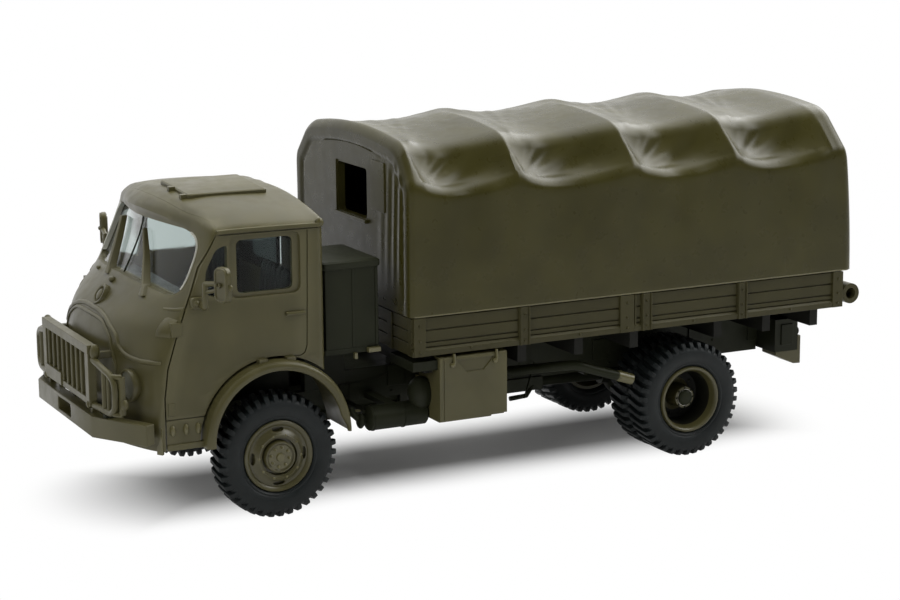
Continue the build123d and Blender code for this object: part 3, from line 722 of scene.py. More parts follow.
def roof_turn(place, out):
    """How far in the roof's edge is rounded, where the wall leaves a place in a direction."""
    sideways = (abs(out.y) / max(out.length, 0.01)) ** 2
    return ROOF_SIDE_TURN * sideways + (ROOF_FRONT_TURN if place.x > 4 else ROOF_REAR_TURN) * (1 - sideways)


def cab_rings():
    """Rings round the cab from its lower edge over the eaves to the roof's ridge."""
    upright = steps(CAB_LOW, WALL_TOP_Z, 64)
    outlines = {z: cab_half_outline(z) for z in upright}
    rings = [[(p.x, p.y, z) for p in outlines[z]] for z in upright]
    count = len(rings[0])
    tops = []
    for i in range(count):
        height = 27.0
        for _ in range(3):
            place = cab_half_outline(height)[i] if height not in outlines else outlines[height][i]
            height = eave(place)
        tops.append(height)
    for t in steps(0, 1, 8)[1:]:
        ring = []
        for i, top in enumerate(tops):
            z = WALL_TOP_Z + (top - WALL_TOP_Z) * t
            key = round(z, 2)
            if key not in outlines:
                outlines[key] = cab_half_outline(key)
            ring.append((*outlines[key][i], z))
        rings.append(ring)
    edge = rings[-1]
    for t in ROOF_STEPS:
        ring = []
        for x, y, z in edge:
            ridge = Vector((min(max(x, RIDGE_REAR), RIDGE_FRONT), 0))
            out = Vector((x, y)) - ridge
            place = ridge + out * (1 - t)
            inside = min(1.0, out.length * t / roof_turn(Vector((x, y)), out))
            rise = math.sqrt(1 - (1 - inside) ** 2)
            ring.append((place.x, place.y, z + (roof_top(place.x, place.y) - z) * rise))
        rings.append(ring)
    return [ring + [(x, -y, z) for x, y, z in reversed(ring[1:-1])] for ring in rings]


def cab_skin():
    """The cab's outer skin, open below."""
    return Moulding().loft(cab_rings(), caps=False)


def slab(rows, back, front):
    """A closed plate over rows of (y, z) points, from back to front of the cab's front surface."""
    forms = Moulding()
    count, length = len(rows[0]), len(rows)
    outside = [(front_x(y, z) + front, y, z) for row in rows for y, z in row]
    inside = [(front_x(y, z) + back, y, z) for row in rows for y, z in row]
    faces = []
    total = count * length
    for r in range(length - 1):
        for i in range(count - 1):
            a, d = r * count + i, (r + 1) * count + i
            faces += [(a, a + 1, d + 1, d), (total + d, total + d + 1, total + a + 1, total + a)]
    rim = [r * count for r in range(length)] + [(length - 1) * count + i for i in range(1, count)]
    rim += [r * count + count - 1 for r in range(length - 2, -1, -1)] + list(range(count - 2, 0, -1))
    for a, b in zip(rim, rim[1:] + rim[:1]):
        faces.append((a, b, total + b, total + a))
    return forms.add(outside + inside, faces)


def seam_blade():
    """The thin curved blade that parts the front mask from the shell."""
    down = []
    for (x0, z0), (x1, z1) in zip(SEAM, SEAM[1:]):
        down += [(x0 + (x1 - x0) * t, z0 + (z1 - z0) * t) for t in steps(0, 1, 5)[:-1]]
    down.append(SEAM[-1])
    rings = []
    for y in steps(-14, 14, 33):
        bow = SEAM_ROOF_BOW * max(0.0, 1 - (y / 11.5) ** 2) ** 0.8
        path = []
        for x, z in down:
            gap = SEAM_GAP if z < SIDE_TOP_Z else ROOF_SEAM_GAP
            path.append((x + bow * smooth(25.6, 26.8, z), z, gap / 2))
        ring = [(x - half, y, z) for x, z, half in path]
        rings.append(ring + [(x + half, y, z) for x, z, half in reversed(path)])
    return Moulding().loft(rings)


# The windscreen's opening seen from ahead, as (y, z) down its left half
SCREEN_EDGE = (
    (0, 25.92), (8.2, 25.78), (9.9, 25.45), (10.7, 24.8), (10.95, 23.9), (11.05, 21.9), (10.9, 21.1),
    (10.35, 20.5), (9.4, 20.32), (6.3, 20.6), (0, 20.85),
)
SCREEN_RECESS = 0.5
PANE_HALF = 11.15
PANE_LOW, PANE_TOP = 20.6, 26.1
# Side windows, as (x, z) corners: the glazed opening, the shallow recess round it, the quarter light,
# and the panes behind the two openings
DOOR_WINDOW = ((-1.85, 20.35), (3.3, 20.35), (3.3, 25.0), (-1.85, 25.0))
DOOR_RECESS = ((-2.5, 20.0), (4.0, 20.0), (4.0, 25.42), (-2.5, 25.42))
QUARTER_WINDOW = ((4.25, 20.05), (6.35, 20.55), (6.2, 22.6), (5.25, 24.4), (4.2, 24.75))
DOOR_PANE = ((-2.3, 19.9), (3.75, 19.9), (3.75, 25.45), (-2.3, 25.45))
QUARTER_PANE = ((3.85, 19.7), (6.75, 20.2), (6.5, 22.9), (5.4, 24.75), (3.85, 25.1))
DOOR_RECESS_DEEP = 0.28
# Grooves on the cab's sides, as lists of (x, z)
DOOR_LINE = (
    (-3.19, 25.4), (-3.08, 20.0), (-2.96, 15.2), (-2.75, 14.6), (-2.4, 14.4), (-0.4, 14.4), (0.8, 14.28),
)
SIDE_GROOVES = (DOOR_LINE, ((10.25, 10.0), (6.5, 10.0)), ((4.9, 25.62), (-4.3, 25.56)))
REAR_WINDOW = ((-4.2, 20.6), (4.2, 20.6), (4.2, 24.6), (-4.2, 24.6))
# Places that are clear of the cab: beyond its sides, ahead of it and below it
PAST_SIDE = 15
PAST_FRONT = 14
UNDER_CAB = 2
# The arch's room round the fender, the cab's lower edge behind the arch, and the notch over the frame
ARCH_ROOM = 0.25
REAR_LOW = 12.8
NOTCH_HALF, NOTCH_TOP = 4.75, 9.2


def screen_outline():
    """The windscreen's outline seen from ahead, as (y, z)."""
    half = rounded_path(SCREEN_EDGE, 0.5)
    return half + [Vector((-p.x, p.y)) for p in reversed(half[1:-1])]


def side_groove(path, width=0.12, deep=0.12):
    """A cutter for a fine groove along a path on the cab's left side."""
    return Moulding().strip([(x, CAB_HALF, z) for x, z in path], (0, 1, 0), width, -deep, 1)


def cut_cab(shell):
    """Cuts the cab's windows, wheel arches, frame notch and grooves."""
    both_sides = (-PAST_SIDE, PAST_SIDE)
    carve(shell, Moulding().prism(screen_outline(), 4.9, PAST_FRONT, "x"))
    for corners, radius in ((DOOR_WINDOW, 0.55), (QUARTER_WINDOW, 0.4)):
        carve(shell, Moulding().prism(rounded(corners, radius), *both_sides, "y"))
    recess = Moulding()
    for side in (1, -1):
        recess.prism(rounded(DOOR_RECESS, 0.8), side * (CAB_HALF - DOOR_RECESS_DEEP), side * PAST_SIDE, "y")
    carve(shell, recess)
    carve(shell, Moulding().prism(rounded(REAR_WINDOW, 0.5), CAB_REAR - 1, CAB_REAR + 1.5, "x"))
    radius = ARCH_R + ARCH_ROOM
    arch = [(ARCH_X + radius * math.cos(a), ARCH_Z + radius * math.sin(a)) for a in steps(0, math.pi, 49)]
    arch = [(arch[0][0], UNDER_CAB), *arch, (arch[-1][0], UNDER_CAB)]
    carve(shell, Moulding().prism(arch, *both_sides, "y"))
    carve(shell, Moulding().block(CAB_REAR - 1, ARCH_X, *both_sides, UNDER_CAB, REAR_LOW))
    carve(shell, Moulding().block(CAB_REAR - 1, 20, -NOTCH_HALF, NOTCH_HALF, 7, NOTCH_TOP))
    for path in SIDE_GROOVES:
        groove = side_groove(path)
        carve(shell, groove)
        carve(shell, groove.flipped())


# The grille's opening, as (y, z) of its top edge on the left half, above two upright sides
GRILLE_TOP = (
    (0.0, 17.5), (2.0, 17.48), (3.6, 17.34), (4.68, 16.92), (5.76, 16.25), (6.33, 15.31), (6.86, 14.53),
    (7.15, 14.0),
)
GRILLE_LOW = 9.6
GRILLE_DEEP = 0.62
# The outer bead over the nose, as (y, z)
OUTER_BEAD = (
    (0.0, 17.97), (2.0, 17.95), (3.74, 17.7), (5.07, 17.24), (6.46, 16.62), (7.13, 15.87), (7.85, 15.39),
    (8.74, 15.1), (10.0, 14.96), (11.0, 14.98),
)
# The lamp field on the left, as (y0, y1, z0, z1), how deep it is sunk, and how deep the strip above the
# windscreen is
LAMP_RECESS = (7.5, 10.35, 8.6, 14.75)
LAMP_RECESS_DEEP = 0.62
HEADER_DEEP = 0.6


def height_on(path, y):
    """The height of a (y, z) path at a place across."""
    for (y0, z0), (y1, z1) in zip(path, path[1:]):
        if y <= y1:
            return z0 + (z1 - z0) * (y - y0) / (y1 - y0)
    return path[-1][1]


def grille_rows(inset=0.0):
    """Rows of (y, z) over the grille's opening, from its foot to its curved top."""
    half = GRILLE_TOP[-1][0] - inset
    columns = steps(-half, half, 41)
    tops = [height_on(GRILLE_TOP, abs(y)) - inset for y in columns]
    rows = []
    for t in steps(0, 1, 21):
        rows.append([(y, GRILLE_LOW + (top - GRILLE_LOW) * t) for y, top in zip(columns, tops)])
    return rows


def header_rows():
    """Pairs of (y, low, high) across the strip between the windscreen and the roof's edge."""
    return [(y, height_on(SCREEN_EDGE, abs(y)) - 0.03, brow(y) - 0.05) for y in steps(-9.5, 9.5, 41)]


def sink_nose(mask):
    """Sinks the strip over the windscreen, the grille's field and the lamp fields into the front mask."""
    rows = header_rows()
    header = [[(y, low - 0.05) for y, low, _ in rows], [(y, high) for y, _, high in rows]]
    carve(mask, slab(header, -HEADER_DEEP, 1.5))
    carve(mask, slab(grille_rows(), -GRILLE_DEEP, 1.5))
    y0, y1, z0, z1 = LAMP_RECESS
    field = [[(y, z) for y in steps(y0, y1, 9)] for z in steps(z0, z1, 15)]
    carve(mask, slab(field, -LAMP_RECESS_DEEP, 2.5))
    carve(mask, slab([[(-y, z) for y, z in reversed(row)] for row in field], -LAMP_RECESS_DEEP, 2.5))


def on_front(path, proud=0.0):
    """A (y, z) path laid on the cab's front surface."""
    return [(front_x(y, z) + proud, y, z) for y, z in path]


def nose_beads():
    """The raised beads over the nose and round the grille, and the ridge below the windscreen."""
    forms = Moulding()
    outer = smooth_path(OUTER_BEAD, 6)
    forms.tube(on_front(outer, -0.06), 0.24, 10)
    inner = smooth_path([*GRILLE_TOP, (7.18, 12.0), (7.18, 9.4)], 5)
    forms.tube(on_front(inner, -0.05), 0.2, 10)
    end_z = OUTER_BEAD[-1][1]
    corner = [(p.x, p.y, end_z) for p in cab_half_outline(end_z) if 11.0 < p.y < 12.1 and p.x > 10.3]
    forms.tube([on_front([OUTER_BEAD[-1]], -0.06)[0], *corner], 0.24, 10, 0.14)
    forms.tube([(9.3, 10.1, 19.25), (8.75, 11.2, 19.35), (8.15, 12.05, 19.5)], 0.17, 8)
    return forms.mirror()


# Blocks on the cab's side, as (x0, x1, how far in they start, how proud they are, z0, z1): the sill's
# lip, the patch above it and the marker lamp's base
SIDE_BLOCKS = (
    (6.55, 10.15, 0.4, 0.14, 7.3, 7.85),
    (9.35, 9.95, 0.2, 0.07, 10.35, 11.5),
    (8.5, 9.45, 0.6, 0.1, 17.2, 18.4),
)
DRIP_RAIL = ((5.15, 25.86), (3.0, 25.9), (0.0, 25.88), (-2.6, 25.84), (-4.3, 25.8))
SILL_RIBS_X = (9.62, 8.42, 7.3)
HANDLE_Y, HANDLE_Z = CAB_HALF + 0.1, 18.2


def side_details():
    """Small raised blocks on the cab's sides, the door handle, and the drip rail with its end."""
    forms = Moulding()
    for x0, x1, deep, proud, z0, z1 in SIDE_BLOCKS:
        forms.block(x0, x1, CAB_HALF - deep, CAB_HALF + proud, z0, z1)
    forms.tube([(-1.0, HANDLE_Y, HANDLE_Z), (-2.8, HANDLE_Y, HANDLE_Z)], 0.2, 8)
    rail = smooth_path(DRIP_RAIL, 6)
    forms.strip([(x, CAB_HALF, z) for x, z in rail], (0, 1, 0), 0.34, -0.6, 0.3)
    forms.ball((-4.35, CAB_HALF - 0.05, 25.95), 0.45, (0.9, 0.8, 1.0), 8)
    return forms.mirror()


def sill_ribs():
    """Three upright ribs on each sill."""
    ribs = Moulding()
    for x in SILL_RIBS_X:
        ribs.ball((x, CAB_HALF + 0.03, 9.05), 0.24, (1.05, 1.1, 2.1), 10)
    return ribs.mirror()


# The section of the upright strip ahead of the sill, as (x, y), from the cab's lower edge up
CORNER_STRIP = ((10.35, 12.0), (10.75, 11.6), (10.95, 11.75), (10.6, 12.3))
CORNER_STRIP_LOW, CORNER_STRIP_TOP = 7.0, 9.4


def build_cab():
    """The cab's moulded shell and its front mask, with the real seam between them."""
    olive = get_finish("body")
    shell = cab_skin().raw("cab_shell_moulding")
    thicken(shell, CAB_WALL)
    cut_cab(shell)
    carve(shell, seam_blade())
    mask = split_by(shell, lambda centre: (centre.x - FRONT_AXLE[0]) / MM < 5.5)
    mask.name = "cab_front_mask"
    sink_nose(mask)
    finish(shell, olive, replaces=["cab_shell"], edge=0.03)
    finish(mask, olive, replaces=["cab_front"], edge=0.03)
    make("nose_beads", nose_beads(), olive, edge=0)
    make("cab_side_details", side_details(), olive, edge=0.05)
    strips = Moulding().prism(CORNER_STRIP, CORNER_STRIP_LOW, CORNER_STRIP_TOP, "z")
    # The corner strips and the sill ribs take the paler olive, a painted highlight
    make("cab_corner_strips", strips.mirror(), get_finish("worn"), edge=0.05)
    make("cab_sill_ribs", sill_ribs(), get_finish("worn"), edge=0)


def screen_lip():
    """The moulded strip over the windscreen and the lips down its two sides, made bright with a painted
    highlight.
    """
    forms = Moulding()
    rings = []
    for y, low, high in header_rows():
        x_low, x_high = front_x(y, low), front_x(y, high)
        lower = [(x_low - 0.7, y, low), (x_low - 0.04, y, low)]
        rings.append([*lower, (x_high - 0.5, y, high), (x_high - 0.7, y, high)])
    forms.loft(rings)
    side = [(p.x - 0.04, p.y) for p in rounded_path(SCREEN_EDGE, 0.5) if 20.9 < p.y < 25.6 and p.x > 9]
    sides = Moulding().strip(on_front(side, -0.12), (1, 0, 0), 0.2, -0.3, 0.2)
    return forms.join(sides.mirror())


def build_glazing():
    """The clear mouldings behind the windscreen's and the side windows' openings."""
    columns = steps(-PANE_HALF, PANE_HALF, 45)
    rows = []
    for t in steps(0, 1, 13):
        row = []
        for y in columns:
            low = PANE_LOW - 0.45 * smooth(0, 9.4, abs(y))
            row.append((y, low + (PANE_TOP - low) * t))
        rows.append(row)
    pane = slab(rows, -SCREEN_RECESS - 0.28, -SCREEN_RECESS)
    make("windscreen_pane", pane, get_finish("screen"), slot="glazing", replaces=["windscreen"], edge=0)
    side = Moulding()
    inner = CAB_HALF - CAB_WALL
    for corners, radius in ((DOOR_PANE, 0.4), (QUARTER_PANE, 0.3)):
        side.prism(rounded(corners, radius), inner + 0.02, inner + 0.4, "y")
    tinted_glass = get_finish("glazing")
    make("side_window_panes", side.mirror(), tinted_glass, slot="glazing", replaces=["side_windows"], edge=0)
    # The strip and lips round the windscreen are pale, a painted highlight
    make("windscreen_lip", screen_lip(), get_finish("screen_lip"), edge=0)
    bar = Moulding().tube(on_front([(0, z) for z in steps(20.8, 25.9, 9)], -SCREEN_RECESS + 0.02), 0.09, 8)
    make("windscreen_bar", bar, get_finish("chassis"), edge=0)
    # The rear window's glass is darkened with painted shade
    dress("rear_window", get_finish("dark_glazing"), 0.04)


# The seats' middle line and the pitch of their sewn channels
SEAT_Y = 6.6
CHANNEL = 1.2
STEERING_HUB = (3.9, 6.2, 20.0)
STEERING_TILT = (-0.55, 0, 0.83)
STEERING_R = 1.9


def build_interior():
    """What shows through the windows: seats with sewn channels, dashboard, steering wheel and floor."""
    inside = get_finish("interior")
    for node in ("cab_floor", "dashboard"):
        dress(node, inside, 0.12)
    seats = Moulding()
    for k in range(5):
        middle = SEAT_Y - 2 * CHANNEL + CHANNEL * k
        seats.ball((-0.3, middle, 16.4), 1.0, (2.2, 0.66, 1.3), 10)
        seats.ball((-2.45, middle, 19.1), 1.0, (0.62, 0.66, 2.6), 10)
    seats.block(-2.4, 1.5, SEAT_Y - 2.9, SEAT_Y + 2.9, 15.0, 16.2)
    seats.block(-3.0, -2.3, SEAT_Y - 2.9, SEAT_Y + 2.9, 15.0, 21.2)
    make("seat_cushions", seats.mirror(), inside, slot="interior", replaces=["seats"], edge=0.1)
    wheel = Moulding()
    centre, tilt = Vector(STEERING_HUB), Vector(STEERING_TILT).normalized()
    across = Vector((0, 1, 0))
    ahead = tilt.cross(across)
    turns = steps(0, math.tau, 33)
    rim = [centre + (across * math.cos(a) + ahead * math.sin(a)) * STEERING_R for a in turns]
    wheel.tube(rim, 0.19, 8)
    for turn in (0, 1, 2):
        a = math.tau * turn / 3 + 0.3
        end = centre + (across * math.cos(a) + ahead * math.sin(a)) * (STEERING_R - 0.05)
        wheel.tube([centre, end], 0.13, 6)
    wheel.tube([centre + tilt * 0.2, centre - tilt * 2.6], 0.24, 8)
    make("steering_wheel_rim", wheel, inside, slot="interior", replaces=["steering_wheel"], edge=0)


# The roof hatch's plate, as (x0, x1, y0, y1), and its hinges' places across
HATCH = (-2.15, 5.35, -1.4, 5.85)
HATCH_HINGES_Y = (2.2, 5.3)


def build_roof_hatch():
    """The low hatch on the roof, with two hinge knuckles at its front edge."""
    forms = Moulding()
    x0, x1, y0, y1 = HATCH
    corners = rounded(((x0, y0), (x1, y0), (x1, y1), (x0, y1)), 0.4, 4)
    rings = []
    for rise, inset in ((-0.25, 0), (0.28, 0), (0.36, 0.14)):
        ring = []
        for p in corners:
            x = min(max(p.x, x0 + inset), x1 - inset)
            y = min(max(p.y, y0 + inset), y1 - inset)
            ring.append((x, y, roof_top(x, y) + rise))
        rings.append(ring)
    forms.loft(rings)
    for y in HATCH_HINGES_Y:
        z = roof_top(x1, y)
        forms.block(x1 - 0.1, x1 + 0.5, y - 0.28, y + 0.28, z - 0.2, z + 0.32)
    make("roof_hatch_plate", forms, get_finish("body"), replaces=["roof_hatch"], edge=0.05)


# Front fittings


GRILLE_SLATS = 21
# The cross bar's height and how far it reaches to each side
CROSS_BAR_Z, CROSS_BAR_HALF = 16.05, 5.3


def build_grille():
    """The grille's fine upright slats, a near-black back behind them that paints shade, and a cross bar in
    the paler olive that paints a highlight.
    """
    forms = Moulding()
    half = GRILLE_TOP[-1][0] - 0.25
    for y in steps(-half, half, GRILLE_SLATS):
        top = height_on(GRILLE_TOP, abs(y)) - 0.12
        rings = []
        for z in steps(GRILLE_LOW, top, 12):
            x = front_x(y, z)
            back, front = x - GRILLE_DEEP - 0.05, x - 0.1
            ring = [(back, y - 0.13, z), (front, y - 0.1, z), (front, y + 0.1, z), (back, y + 0.13, z)]
            rings.append(ring)
        forms.loft(rings)
    make("grille_slats", forms, get_finish("body"), replaces=["grille"], edge=0)
    # The grille's back is near-black, painted shade in the grille's depth
    back = slab(grille_rows(0.05), -GRILLE_DEEP - 0.2, -GRILLE_DEEP + 0.03)
    make("grille_back", back, get_finish("recess"), edge=0)
    # The cross bar takes the paler olive, a painted highlight
    path = [(y, CROSS_BAR_Z) for y in steps(-CROSS_BAR_HALF, CROSS_BAR_HALF, 31)]
    bar = Moulding().strip(on_front(path, -0.2), (0, 0, 1), 0.3, -0.13, 0.13)
    make("grille_cross_bar", bar, get_finish("worn"), edge=0.04)


def turned_along(profile, centre, axes, count=40):
    """Rings of a (radius, height) profile turned about an axis that is given by its three directions."""
    ahead, across, up = axes
    turns = [math.tau * k / count for k in range(count)]
    rings = []
    for r, h in profile:
        middle = Vector(centre) + ahead * h
        rings.append([middle + (across * math.cos(a) + up * math.sin(a)) * max(r, 0.01) for a in turns])
    return rings


BADGE_AT = (11.21, 0.0, 18.7)
BADGE_AHEAD = (1.15, 0.0, 0.7)
# The disc and its ring, as (radius, height)
BADGE_PROFILE = (
    (0.02, 0.77), (0.38, 0.77), (0.5, 0.7), (0.56, 0.52), (0.68, 0.52), (0.76, 0.72), (0.92, 0.74),
    (1.02, 0.58), (1.05, -0.38),
)


def build_badge():
    """A plain round disc in a raised ring on the nose."""
    ahead, across = Vector(BADGE_AHEAD).normalized(), Vector((0, 1, 0))
    rings = turned_along(BADGE_PROFILE, BADGE_AT, (ahead, across, ahead.cross(across)), 32)
    make("nose_disc", Moulding().loft(rings), get_finish("body"), replaces=["badge_disc"], edge=0)


LAMP_CENTRE = (12.35, 9.2, 12.75)
LAMP_R = 1.42
# A headlamp's shell and its lens, as (radius, height)
LAMP_SHELL = (
    (1.0, -1.7), (1.3, -1.1), (LAMP_R, -0.2), (1.46, 0.1), (1.4, 0.3), (1.24, 0.34), (1.18, 0.2),
    (1.1, 0.05), (0.5, -0.5),
)
LAMP_LENS = ((1.17, 0.1), (1.17, 0.2), (0.9, 0.38), (0.5, 0.5), (0.0, 0.54))


def lamp_frame():
    """The direction a headlamp faces, and the two directions across it."""
    ahead = Vector((1, 0.16, 0.02)).normalized()
    across = Vector((0, 1, 0)) - ahead * ahead.y
    across.normalize()
    return ahead, across, ahead.cross(across)


def build_headlamps():
    """Each headlamp's shell with its rim, and its domed lens."""
    axes = lamp_frame()
    shell = Moulding().loft(turned_along(LAMP_SHELL, LAMP_CENTRE, axes))
    make("headlamp_shells", shell.mirror(), get_finish("body"), replaces=["headlamps"], edge=0)
    lens = Moulding().loft(turned_along(LAMP_LENS, LAMP_CENTRE, axes))
    make("headlamp_lenses", lens.mirror(), get_finish("lamp"), slot="lamp", edge=0)


MARKER_LOW, MARKER_TOP = 17.1, 18.75
MARKER_SWELL = 0.42


def build_marker_lamps():
    """Small rounded lamps on the cab's front corners."""
    rings = []
    for t in steps(0, 1, 9):
        z = MARKER_LOW + (MARKER_TOP - MARKER_LOW) * t
        swell = MARKER_SWELL * math.sin(math.pi * min(0.97, 0.12 + 0.8 * t)) ** 0.5
        ring = []
        for s in steps(0, 1, 9):
            y = 10.8 + 1.05 * s
            x = front_x(min(y, CORNER_Y), z) - 0.3 - 1.05 * max(0.0, s - 0.15) ** 1.3
            ring.append((x + swell * 1.15, y + swell * (0.2 + 0.5 * s), z))
        rings.append(ring + [(x - 1.2, y - 0.6, z) for x, y, z in reversed(ring)])
    forms = Moulding().loft(rings)
    make("marker_lamp_shells", forms.mirror(), get_finish("body"), replaces=["marker_lamps"], edge=0.1)


# Each wiper from its foot to its tip, as (y, z, half its width, and how far its back and its front stand
# ahead of the cab's front surface)
WIPERS = (
    (
        (6.6, 19.95, 0.5, -0.5, 0.3), (6.1, 20.5, 0.36, -0.5, 0.36), (5.6, 20.75, 0.24, -0.45, 0.34),
        (3.5, 22.8, 0.17, -0.42, 0.22), (1.3, 24.85, 0.12, -0.42, 0.02),
    ),
    (
        (-2.6, 20.4, 0.45, -0.5, 0.3), (-3.0, 20.85, 0.34, -0.5, 0.36), (-3.4, 21.2, 0.28, -0.45, 0.34),
        (-5.1, 23.0, 0.26, -0.42, 0.3), (-6.8, 24.75, 0.24, -0.42, 0.2),
    ),
)
# The cowl's knobs, as (x, y, z, radius)
COWL_KNOBS = ((9.85, -6.1, 20.25, 0.24), (10.45, -0.35, 20.2, 0.36))


def build_wipers():
    """Two broad moulded wipers, and the knobs along the cowl."""
    forms = Moulding()
    for sections in WIPERS:
        rings = []
        for y, z, half, back, front in sections:
            x = front_x(y, z)
            rings.append(
                [
                    (x + back, y - half, z), (x + front - 0.08, y - half, z), (x + front, y - half * 0.4, z),
                    (x + front, y + half * 0.4, z), (x + front - 0.08, y + half, z), (x + back, y + half, z),
                ]
            )
        forms.loft(rings)
    for x, y, z, radius in COWL_KNOBS:
        forms.ball((x, y, z), radius, (1, 1.3, 0.8), 8)
    make("wiper_arms", forms, get_finish("body"), replaces=["wipers"], edge=0.05)


def rounded_slab(forms, centre, out, across, up, half_w, half_h, corner, thick):
    """A rounded plate: out is its face's direction."""
    w, h, t = half_w, half_h, thick / 2
    corners = rounded(((-w, -h), (w, -h), (w, h), (-w, h)), corner, 6)
    rings = []
    for depth, grow in ((-t, 0.86), (-t + 0.12, 1.0), (t - 0.12, 1.0), (t, 0.9)):
        middle = Vector(centre) + out * depth
        rings.append([middle + across * (p.x * grow) + up * (p.y * grow) for p in corners])
    forms.loft(rings)


# The middle of the left mirror's head, and the direction in which its back faces
MIRROR_HEAD = (6.06, 16.0, 22.1)
MIRROR_OUT = (0.96, 0.28, 0)


def build_mirrors():
    """Rear-view mirrors: a foot on the pillar, a bent stem, an arm and a rounded head with its clamp."""
    forms = Moulding()
    head = Vector(MIRROR_HEAD)
    out = Vector(MIRROR_OUT).normalized()
    across = Vector((-out.y, out.x, 0))
    up = Vector((0, 0, 1))
    aside, ahead = Vector((0, 1, 0)), Vector((1, 0, 0))
    rounded_slab(forms, (6.95, CAB_HALF + 0.1, 20.0), aside, ahead, up, 0.75, 0.5, 0.3, 0.5)
    forms.ball((7.25, CAB_HALF + 0.35, 20.0), 0.3, (1, 1, 1), 8)
    stem = [(6.75, 12.3, 19.9), (6.75, 13.2, 19.75), (6.8, 13.5, 20.1), (6.75, 13.5, 21.9)]
    forms.tube(smooth_path(stem, 5), 0.33, 10, 0.24)
    forms.tube([(6.75, 13.4, 21.8), (6.55, 14.6, 22.0), (6.25, 15.7, 22.15)], 0.22, 8)
    forms.tube([(6.75, 13.45, 21.1), (6.5, 14.8, 21.4), (6.25, 15.6, 21.75)], 0.16, 8)
    rounded_slab(forms, head, out, across, up, 0.88, 1.5, 0.7, 0.6)
    rim = rounded(((-0.74, -1.36), (0.74, -1.36), (0.74, 1.36), (-0.74, 1.36)), 0.6, 6)
    forms.tube([head + out * 0.3 + across * p.x + up * p.y for p in (*rim, rim[0])], 0.1, 6)
    forms.block(head.x + 0.1, head.x + 0.42, head.y - 0.55, head.y + 0.1, head.z - 0.25, head.z + 0.2)
    for turn in (-0.42, 0.08):
        forms.ball(head + out * 0.42 + across * turn, 0.15, (1, 1, 1), 8)
    forms.ball(head + across * 0.95 - up * 0.15, 0.22, (1, 1, 1.3), 8)
    make("mirror_arms", forms.mirror(), get_finish("body"), replaces=["mirrors"], edge=0.04)
    glass = Moulding()
    rounded_slab(glass, head - out * 0.27, out, across, up, 0.62, 1.3, 0.5, 0.08)
    make("mirror_glasses", glass.mirror(), get_finish("mirror"), slot="lamp", edge=0)


# Brush guard and bumper

GUARD_X = 15.0
GUARD_HALF = 6.76
GUARD_LOW = 10.7
GUARD_TOP = 16.04
BUMPER_LOW = 8.2
BUMPER_TOP = 10.05
BAR_PITCH = 1.38
# An upright bar's section, as (distance ahead of GUARD_X, distance to the side)
BAR_SECTION = ((-0.5, -0.16), (0.02, -0.2), (0.1, 0.0), (0.02, 0.2), (-0.5, 0.16))


def build_brush_guard():
    """A deep top beam, two side posts on feet, upright bars, and a blank plate among them."""
    forms = Moulding()
    forms.block(GUARD_X - 0.6, GUARD_X + 0.22, -GUARD_HALF, GUARD_HALF, GUARD_TOP - 0.8, GUARD_TOP)
    forms.block(GUARD_X - 0.5, GUARD_X + 0.12, -GUARD_HALF, GUARD_HALF, GUARD_LOW, GUARD_LOW + 0.55)
    count = shape_settings().guard_bars
    for i in range(count):
        y = BAR_PITCH * (i - (count - 1) / 2)
        section = [(GUARD_X + ahead, y + aside) for ahead, aside in BAR_SECTION]
        forms.prism(section, GUARD_LOW + 0.1, GUARD_TOP - 0.3, "z")
    for side in (1, -1):
        y = side * (GUARD_HALF - 0.5)
        forms.block(GUARD_X - 0.56, GUARD_X + 0.18, y - 0.48, y + 0.48, GUARD_LOW - 0.1, GUARD_TOP - 0.4)
        forms.block(GUARD_X - 0.7, GUARD_X - 0.1, y - 0.3, y + 0.3, BUMPER_TOP - 0.1, GUARD_LOW)
        forms.ball((GUARD_X + 0.02, y, GUARD_LOW + 0.05), 0.36, (0.9, 0.9, 1.1), 8)
        forms.block(front_x(y, 15.1) - 0.5, GUARD_X - 0.4, y - 0.3, y + 0.3, 14.7, 15.3)
        forms.ball((GUARD_X - 0.4, side * (GUARD_HALF + 0.2), 15.45), 0.5, (0.9, 0.9, 1.4), 12)
    forms.block(GUARD_X - 0.3, GUARD_X + 0.24, -6.2, -1.4, GUARD_LOW + 0.02, 11.9)
    make("brush_guard_bars", forms, get_finish("body"), replaces=["brush_guard"], edge=0.07)


LAMP_GUARD_LOW = 10.5
LAMP_GUARD_TOP = 14.3


# The loop beside the brush guard, as (x, y, distance above its upper or lower level), and the outer post
LOOP_UPPER = (
    (14.75, 6.8, 0.75), (14.55, 9.2, 0.3), (14.4, 10.2, 0.05), (14.3, 10.85, -0.35), (14.25, 11.1, -0.9),
)
LOOP_LOWER = (
    (14.25, 11.1, 0.9), (14.3, 10.85, 0.35), (14.4, 10.2, 0.0), (14.55, 9.2, 0.0), (14.75, 6.8, 0.0),
)
LOOP_POST = (13.7, 11.35)


def lamp_guard():
    """A rounded loop beside the brush guard with two uprights, and short links to an outer post."""
    forms = Moulding()
    top, low = LAMP_GUARD_TOP - 0.25, LAMP_GUARD_LOW + 0.25
    loop = [(x, y, top + rise) for x, y, rise in LOOP_UPPER]
    loop += [(x, y, low + rise) for x, y, rise in LOOP_LOWER]
    forms.tube(smooth_path(loop, 4), 0.3, 10)
    forms.tube([(14.55, 9.15, low), (14.55, 9.15, top + 0.3)], 0.26, 8)
    forms.tube([(14.45, 9.95, low), (14.45, 9.95, top + 0.1)], 0.16, 8)
    for z in (top, low):
        forms.tube([(14.3, 10.7, z), (13.95, 11.2, z), (*LOOP_POST, z)], 0.24, 8)
    forms.tube([(*LOOP_POST, low), (*LOOP_POST, top)], 0.3, 8)
    forms.ball((13.6, 11.6, low + 0.9), 0.34, (1, 1, 1.5), 8)
    return forms.mirror()


